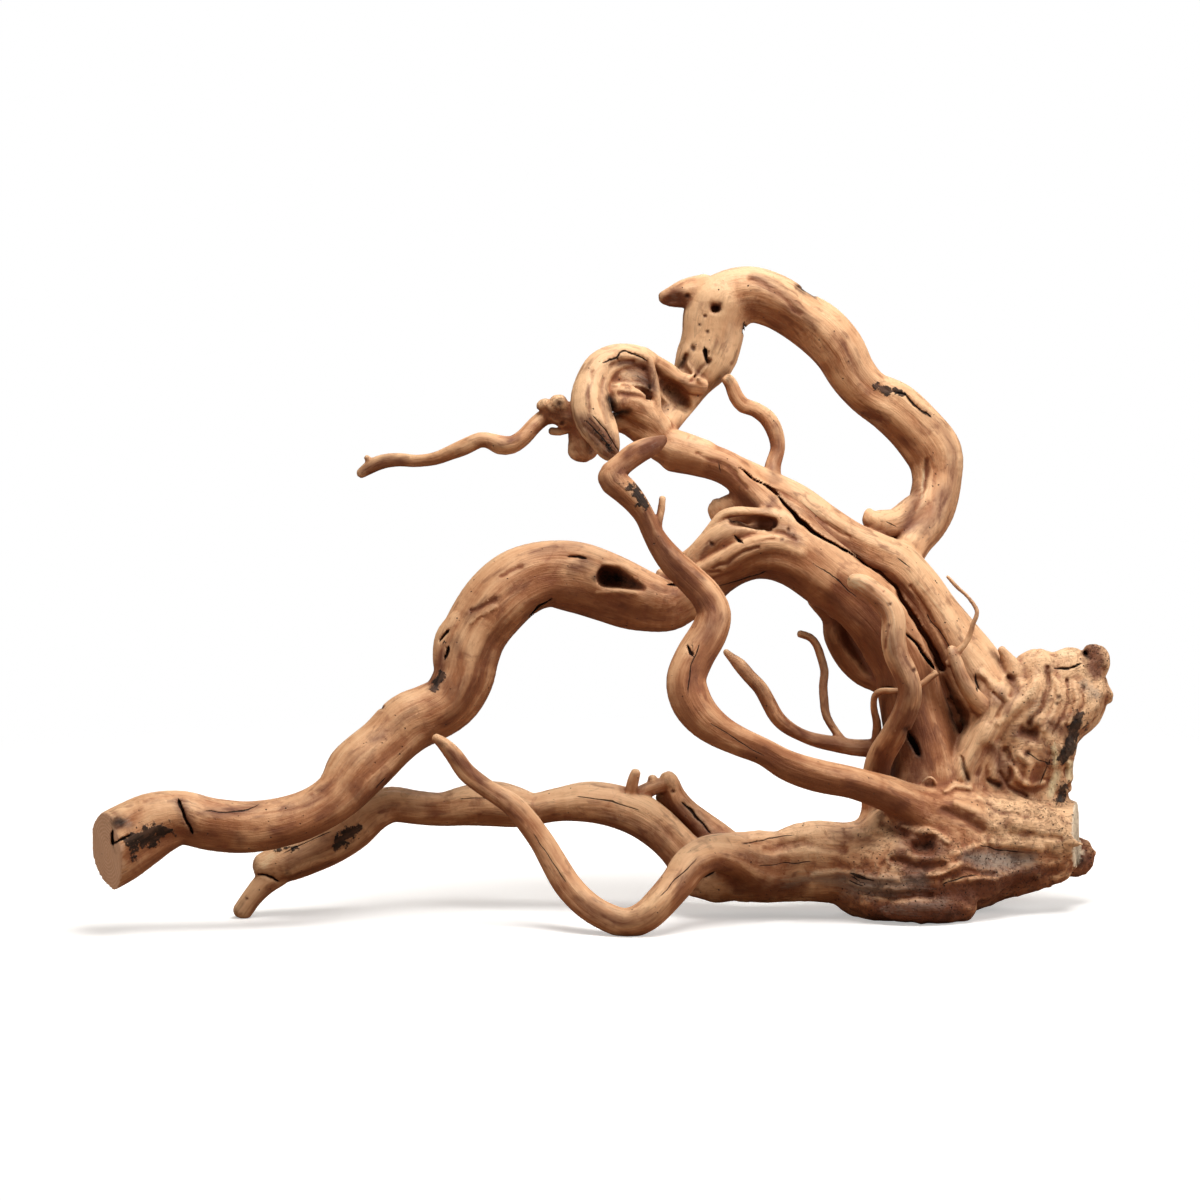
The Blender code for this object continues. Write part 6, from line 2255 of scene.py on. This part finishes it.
@dataclass(frozen=True)
class WeatheredRootWood:
    """Bare root wood, stripped of its bark by sand and water and dried: dull satin, made pale on the tops by
    painted light.

    The eye sees long fibres that follow each limb, darker rings between them, rust-brown stains where bark
    last held, greyed stretches and cream wood where it was cut, and painted shade: pinholes and cracks
    painted black, near-black hollows, and darker, redder shut-in places and undersides.
    """

    pale: str = "#edbf92"
    mid: str = "#bf8156"
    deep: str = "#8c5433"
    # Rust-brown stains, also used as painted shade in the flap, the hook's recess and under the crown
    stain: str = "#6b3923"
    # Painted shade in shut-in places, darker and redder
    crease_shade_colour: str = "#6e3d24"
    grey: str = "#8f8478"
    bark: str = "#4a3226"
    bark_dark: str = "#150d09"
    # Painted shade: near black, for cracks, pinholes, hollows and pits
    rot: str = "#120a07"
    fresh: str = "#efd9ad"
    sawn: str = "#e2b694"
    ring: str = "#c08d6b"
    cream: str = "#f3e2c6"
    cloud: str = "#87492f"
    fibre_mm: tuple[float, float] = (1.4, 26.0)
    ring_mm: tuple[float, float] = (6.0, 60.0)
    fleck_mm: tuple[float, float] = (4.2, 12.0)
    blotch_mm: float = 26.0
    cloud_mm: float = 15.0
    pinhole_mm: float = 3.4
    grit_mm: float = 3.0
    speck_mm: float = 5.0
    rough: float = 0.56

    def material(self) -> bpy.types.Material:
        """Make the material.

        Returns:
            The material.
        """
        wood = bpy.data.materials.new("weathered_root_wood")
        wood.use_nodes = True
        wood.node_tree.nodes.clear()
        nodes = Shading(wood.node_tree)
        seen = self.patterns(nodes)
        colour, light = self.bare(nodes, seen)
        colour = self.soaked(nodes, seen, colour)
        colour, bark, dark = self.covered(nodes, seen, colour)
        colour, crack, pin, pores = self.opened(nodes, seen, colour)
        relief = nodes.sum((seen.fibre, 0.8), (pores, -1.6), (seen.rings, 0.5), (seen.speck, 0.6),
                           (pin, -1.2), (crack, -1.6), (bark, 0.7), (seen.fleck, 0.3))
        bump = add(nodes.tree, "ShaderNodeBump", {"Height": relief, "Strength": 0.8, "Distance": 0.0009})
        gloss = nodes.sum((light, -0.10), (dark, 0.3), (crack, 0.3))
        gloss = nodes.math("ADD", gloss, self.rough + 0.06, use_clamp=True)
        shader = add(nodes.tree, "ShaderNodeBsdfPrincipled",
                     {"Base Color": colour, "Roughness": gloss, "Normal": bump, "IOR": 1.5,
                      "Specular IOR Level": 0.3})
        add(nodes.tree, "ShaderNodeOutputMaterial", {"Surface": shader})
        return wood

    def patterns(self, nodes: Shading) -> Patterns:
        """Read the skin's numbers and lay the patterns.

        Args:
            nodes: the material's nodes.

        Returns:
            The patterns.
        """
        place = add(nodes.tree, "ShaderNodeTexCoord", output="Object")
        share = add(nodes.tree, "ShaderNodeSeparateXYZ", {"Vector": nodes.read("grain_share", "Vector")})
        fibre = self.along_grain(nodes, share, self.fibre_mm, 3.0, 0.6)
        rings = self.along_grain(nodes, share, self.ring_mm, 2.0, 0.5)
        fleck = self.along_grain(nodes, share, self.fleck_mm, 2.0, 0.55)
        blotch = nodes.noise(place, self.blotch_mm, 3.0, 0.55, 0.6)
        speck = nodes.noise(place, self.speck_mm, 3.0, 0.65)
        return Patterns(place, fibre, rings, fleck, blotch, speck, nodes.read("raised"), nodes.read("burl"))

    def bare(self, nodes: Shading, seen: Patterns) -> tuple[Socket, Socket]:
        """Colour the bare wood, with painted light that makes it paler on the tops and painted shade that
        makes it darker and redder below.

        Args:
            nodes: the material's nodes.
            seen: the patterns.

        Returns:
            The colour, and how pale it is, painted light on the tops included.
        """
        # Painted light and shade: skin that faces up is paler, skin that faces down darker, and each limb's
        # tone adds more
        normal = add(nodes.tree, "ShaderNodeNewGeometry", output="Normal")
        up = add(nodes.tree, "ShaderNodeSeparateXYZ", {"Vector": normal}, output="Z")
        height = nodes.sum((up, 0.55), (nodes.read("tone"), 0.55), (seen.blotch, 1.15), (seen.rings, 1.25),
                           (seen.fibre, 0.62), (seen.raised, 0.9))
        colour = nodes.blend(nodes.ramp(height, 1.32, 2.25), self.deep, self.mid)
        light = nodes.ramp(height, 1.80, 2.75)
        colour = nodes.blend(light, colour, self.pale)
        # Growth rings show as thin darker lines along the limb, here and there
        line = nodes.math("ABSOLUTE", nodes.math("SUBTRACT", seen.rings, 0.5))
        line = nodes.ramp(line, 0.0, 0.02, 1.0, 0.0)
        line = nodes.math("MULTIPLY", line, nodes.ramp(seen.blotch, 0.45, 0.62, 0.0, 0.30))
        colour = nodes.blend(line, colour, self.stain)
        # Short rust-brown flecks where roots and bark held
        flecks = nodes.sum((seen.fleck, 1.0), (seen.blotch, -0.25), (seen.burl, 0.03))
        return nodes.blend(nodes.ramp(flecks, 0.44, 0.60, 0.0, 0.50), colour, self.stain), light

    def soaked(self, nodes: Shading, seen: Patterns, colour: Socket) -> Socket:
        """Soak stains into the wood, paint shade into shut-in places, and let the sawn ends show.

        Args:
            nodes: the material's nodes.
            seen: the patterns.
            colour: the bare wood.

        Returns:
            The new colour.
        """
        # Soft clouds of tea-coloured staining soaked in from the ground
        cloud = nodes.noise(seen.place, self.cloud_mm, 4.0, 0.62, 1.2)
        clouds = nodes.sum((cloud, 1.0), (seen.rings, 0.45), (seen.raised, -0.25))
        colour = nodes.blend(nodes.ramp(clouds, 0.60, 0.82, 0.0, 0.62), colour, self.cloud)
        # Painted shade makes shut-in places darker and redder; then stains, some of them painted shade too,
        # greyed stretches and wood torn open later
        for name, frayed_by, low, high, fray, most, shade in (
                ("painted_crease_shade", seen.speck, 0.22, 0.85, 0.3, 0.62, self.crease_shade_colour),
                ("stain", seen.fleck, 0.12, 0.78, 0.9, 0.86, self.stain),
                ("grey", seen.fibre, 0.25, 0.95, 0.9, 0.8, self.grey),
                ("fresh", seen.fibre, 0.3, 0.9, 0.8, 0.9, self.fresh)):
            mask = nodes.ragged(nodes.read(name), frayed_by, low, high, fray, most)
            colour = nodes.blend(mask, colour, shade)
        # Sawn ends are smoother, with rings round the limb's middle
        colour = nodes.blend(nodes.read("sawn"), colour, self.end_rings(nodes))
        return nodes.blend(nodes.read("cream"), colour, self.cream)

    def covered(self, nodes: Shading, seen: Patterns, colour: Socket) -> tuple[Socket, Socket, Socket]:
        """Lay scaly remains of bark on the wood, and the dark marks, mostly painted shade in hollows, pits
        and cracks.

        Args:
            nodes: the material's nodes.
            seen: the patterns.
            colour: the wood beneath them.

        Returns:
            The new colour, the bark and the dark marks.
        """
        bark = nodes.ragged(nodes.read("bark"), seen.speck, 0.42, 0.54, 1.5, 0.95)
        scaly = nodes.blend(nodes.ramp(seen.fleck, 0.38, 0.56), self.bark, self.bark_dark)
        colour = nodes.blend(bark, colour, scaly)
        # Painted shade: the dark marks turn hollows, pits and cracks near black
        dark = nodes.ragged(nodes.read("dark"), seen.speck, 0.25, 0.95, 0.9, 0.96)
        return nodes.blend(dark, colour, self.rot), bark, dark

    def opened(self, nodes: Shading, seen: Patterns, colour: Socket) -> tuple[Socket, Socket, Socket, Socket]:
        """Open the wood with cracks, pinholes and pores, each painted darker as the shade in it.

        Args:
            nodes: the material's nodes.
            seen: the patterns.
            colour: the wood round them.

        Returns:
            The new colour, the cracks, the pinholes and the pores.
        """
        # Cracks are painted near black from their line, finer than the skin's own points: painted shade in
        # the slits
        aside = nodes.math("ABSOLUTE", nodes.read("crack_side"))
        wide = nodes.math("MULTIPLY", nodes.read("crack_half"), nodes.ramp(seen.speck, 0.3, 0.7, 0.35, 1.45))
        crack = nodes.ramp(nodes.math("SUBTRACT", wide, aside), -0.25, 0.1, 0.0, 0.92)
        colour = nodes.blend(crack, colour, self.rot)
        # Pinholes of wood borers, sparse on the limbs and thick on the burled crown, painted near black as
        # the shade in them
        hole = add(nodes.tree, "ShaderNodeTexVoronoi", {"Vector": seen.place, "Scale": 1000 / self.pinhole_mm,
                                                        "Randomness": 1.0}, output="Distance")
        chance = nodes.ramp(nodes.sum((seen.speck, 1.0), (seen.burl, 0.16)), 0.58, 0.63)
        pin = nodes.math("MULTIPLY", nodes.ramp(hole, 0.10, 0.20, 1.0, 0.0), chance)
        colour = nodes.blend(nodes.math("MULTIPLY", pin, 0.85), colour, self.rot)
        # Burled wood is eaten into small open pores, painted darker as the shade in them
        grit = nodes.noise(seen.place, self.grit_mm, 3.0, 0.7, 1.0)
        pores = nodes.math("MULTIPLY", nodes.ramp(grit, 0.36, 0.46, 1.0, 0.0), seen.burl)
        return nodes.blend(nodes.math("MULTIPLY", pores, 0.38), colour, self.stain), crack, pin, pores

    def along_grain(self, nodes: Shading, share: Socket, size_mm: tuple[float, float], detail: float,
                    rough: float) -> Socket:
        """Noise drawn out along the grain, mixed where limbs meet.

        Args:
            nodes: the material's nodes.
            share: each grain map's share, as the first output of a Separate XYZ.
            size_mm: the pattern's width and length in millimetres.
            detail: the noise's detail.
            rough: the noise's roughness.

        Returns:
            The pattern.
        """
        total = None
        width, length = size_mm
        for grain, part in zip((Grain.FIRST, Grain.SECOND, Grain.THIRD), share.node.outputs):
            where = nodes.read(f"grain_{grain.name.lower()}", "Vector")
            where = add(nodes.tree, "ShaderNodeVectorMath", {0: where, 1: (1 / width, 1 / width, 1 / length)},
                        operation="MULTIPLY")
            value = add(nodes.tree, "ShaderNodeTexNoise", {"Vector": where, "Scale": 1.0, "Detail": detail,
                                                           "Roughness": rough, "Distortion": 0.35})
            value = nodes.math("MULTIPLY", value, part)
            total = value if total is None else nodes.math("ADD", total, value)
        return total

    def end_rings(self, nodes: Shading) -> Socket:
        """The colour of a sawn end: rings round the limb's middle, and rays out from it.

        Args:
            nodes: the material's nodes.

        Returns:
            The colour.
        """
        where = nodes.read("grain_first", "Vector")
        flat = add(nodes.tree, "ShaderNodeVectorMath", {0: where, 1: (1.0, 1.0, 0.0)}, operation="MULTIPLY")
        bend = add(nodes.tree, "ShaderNodeTexNoise", {"Vector": flat, "Scale": 0.10, "Detail": 2.0},
                   output="Color")
        wave = add(nodes.tree, "ShaderNodeTexWave",
                   {"Vector": flat, "Scale": 0.16, "Distortion": 3.0, "Detail": 2.0, "Detail Scale": 1.4},
                   wave_type="RINGS", rings_direction="SPHERICAL")
        return nodes.blend(nodes.ramp(nodes.math("MULTIPLY", wave, bend), 0.1, 0.6, 0.6, 0.05),
                           self.sawn, self.ring)


@dataclass(frozen=True)
class PaleFloor:
    """The pale studio floor: a painted board whose edge fades away, so that no horizon shows."""

    colour: str = "#f4f3f1"
    bounce: str = "#8a7663"
    glow: float = 0.42
    radius: float = 1.5
    clear: float = 0.9

    def build(self) -> bpy.types.Object:
        """Lay the floor.

        Returns:
            The floor.
        """
        mesh = bpy.data.meshes.new("floor")
        ring = [(math.cos(turn) * self.radius, math.sin(turn) * self.radius, 0.0)
                for turn in np.linspace(0, 2 * math.pi, 96, endpoint=False)]
        mesh.from_pydata(ring, [], [list(range(96))])
        floor = linked("floor", mesh)
        paint = bpy.data.materials.new("matt_painted_board")
        paint.use_nodes = True
        tree = paint.node_tree
        tree.nodes.clear()
        place = add(tree, "ShaderNodeTexCoord", output="Object")
        away = add(tree, "ShaderNodeVectorMath", {0: place}, output="Value", operation="LENGTH")
        fade = add(tree, "ShaderNodeMapRange", {"Value": away, "From Min": self.clear * 0.45,
                                                "From Max": self.clear, "To Min": 1.0, "To Max": 0.0},
                   interpolation_type="SMOOTHSTEP")
        # The board looks pale but throws little light back up, as one on a low dark stand does
        seen = add(tree, "ShaderNodeLightPath", output="Is Camera Ray")
        colour = Shading(tree).blend(seen, self.bounce, self.colour)
        board = add(tree, "ShaderNodeBsdfDiffuse", {"Color": colour, "Roughness": 0.0})
        glow = add(tree, "ShaderNodeMath", {0: seen, 1: self.glow}, operation="MULTIPLY")
        shine = add(tree, "ShaderNodeEmission", {"Color": linear(self.colour), "Strength": glow})
        board = add(tree, "ShaderNodeAddShader", {0: board, 1: shine})
        clear = add(tree, "ShaderNodeBsdfTransparent", {"Color": (1, 1, 1, 1)})
        mixed = add(tree, "ShaderNodeMixShader", {0: fade, 1: clear, 2: board})
        add(tree, "ShaderNodeOutputMaterial", {"Surface": mixed})
        floor.data.materials.append(paint)
        return floor


@dataclass(frozen=True)
class Studio:
    """Plain soft light, the floor and the camera."""

    drawing: Drawing
    lens: float = 125.0
    sensor: float = 36.0
    ambient: float = 0.20
    warmth: str = "#ffeedd"
    target: tuple[float, float, float] = (0.08, 0.0, 0.15)
    lamps: tuple[tuple[str, tuple[float, float, float], float, float], ...] = (
        ("key", (0.22, -0.28, 1.40), 0.9, 19.0),
        ("side", (1.7, -0.45, 0.6), 1.0, 13.0),
        ("fill", (-1.6, -1.1, 0.5), 1.2, 8.0),
        ("back", (0.2, 1.4, 1.5), 1.2, 6.0),
    )

    def build(self) -> None:
        """Set the floor, the lights, the surround and the camera."""
        PaleFloor().build()
        for name, place, size, power in self.lamps:
            self.lamp(name, place, size, power)
        self.surround()
        self.camera()

    def lamp(self, name: str, place: tuple[float, float, float], size: float, power: float) -> None:
        """Hang one soft lamp that looks at the root.

        Args:
            name: the lamp's name.
            place: where it hangs, in metres.
            size: the width of its shade.
            power: its power in watts.
        """
        light = bpy.data.lights.new(name, "AREA")
        light.shape = "DISK"
        light.size = size
        light.energy = power
        lamp = linked(name, light)
        lamp.location = place
        lamp.rotation_euler = (Vector(self.target) - lamp.location).to_track_quat("-Z", "Y").to_euler()

    def surround(self) -> None:
        """Fill the room with even light that looks white."""
        world = bpy.data.worlds.new("soft_room")
        bpy.context.scene.world = world
        world.use_nodes = True
        tree = world.node_tree
        tree.nodes.clear()
        seen = add(tree, "ShaderNodeLightPath", output="Is Camera Ray")
        room = add(tree, "ShaderNodeBackground", {"Color": linear(self.warmth), "Strength": self.ambient})
        white = add(tree, "ShaderNodeBackground", {"Color": (1, 1, 1, 1), "Strength": 1.0})
        mixed = add(tree, "ShaderNodeMixShader", {0: seen, 1: room, 2: white})
        add(tree, "ShaderNodeOutputWorld", {"Surface": mixed})
        bpy.context.scene.view_settings.view_transform = "Standard"

    def camera(self) -> None:
        """Set the camera at the drawing's eye."""
        data = bpy.data.cameras.new("camera")
        data.lens = self.lens
        data.sensor_width = self.sensor
        data.clip_start = 0.05
        camera = linked("camera", data)
        origin = np.array(self.drawing.origin) * MM
        camera.location = Vector(origin - self.drawing.back() * self.drawing.distance * MM)
        camera.rotation_euler = Vector(self.drawing.back()).to_track_quat("-Z", "Y").to_euler()
        bpy.context.scene.camera = camera


def main() -> None:
    """Load the frame, grow and dress the root, and light it."""
    logging.basicConfig(level=logging.INFO, format="%(message)s")
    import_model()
    drawing = Drawing()
    root = Root(drawing, (LeftArm(), Arch(), Trunk(), Head(), Hook(), FrontLimbs(), LowLimbs(), Crown()))
    skin_object, skin, chains, strokes = root.build()
    root.dress(skin_object, skin, chains, strokes)
    skin_object.data.materials.append(WeatheredRootWood().material())
    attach(skin_object, BODY)
    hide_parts(NODE)
    LOG.info("%s: one piece, %d triangles", skin_object.name, len(skin_object.data.polygons))
    Studio(drawing).build()


if __name__ == "__main__":
    main()
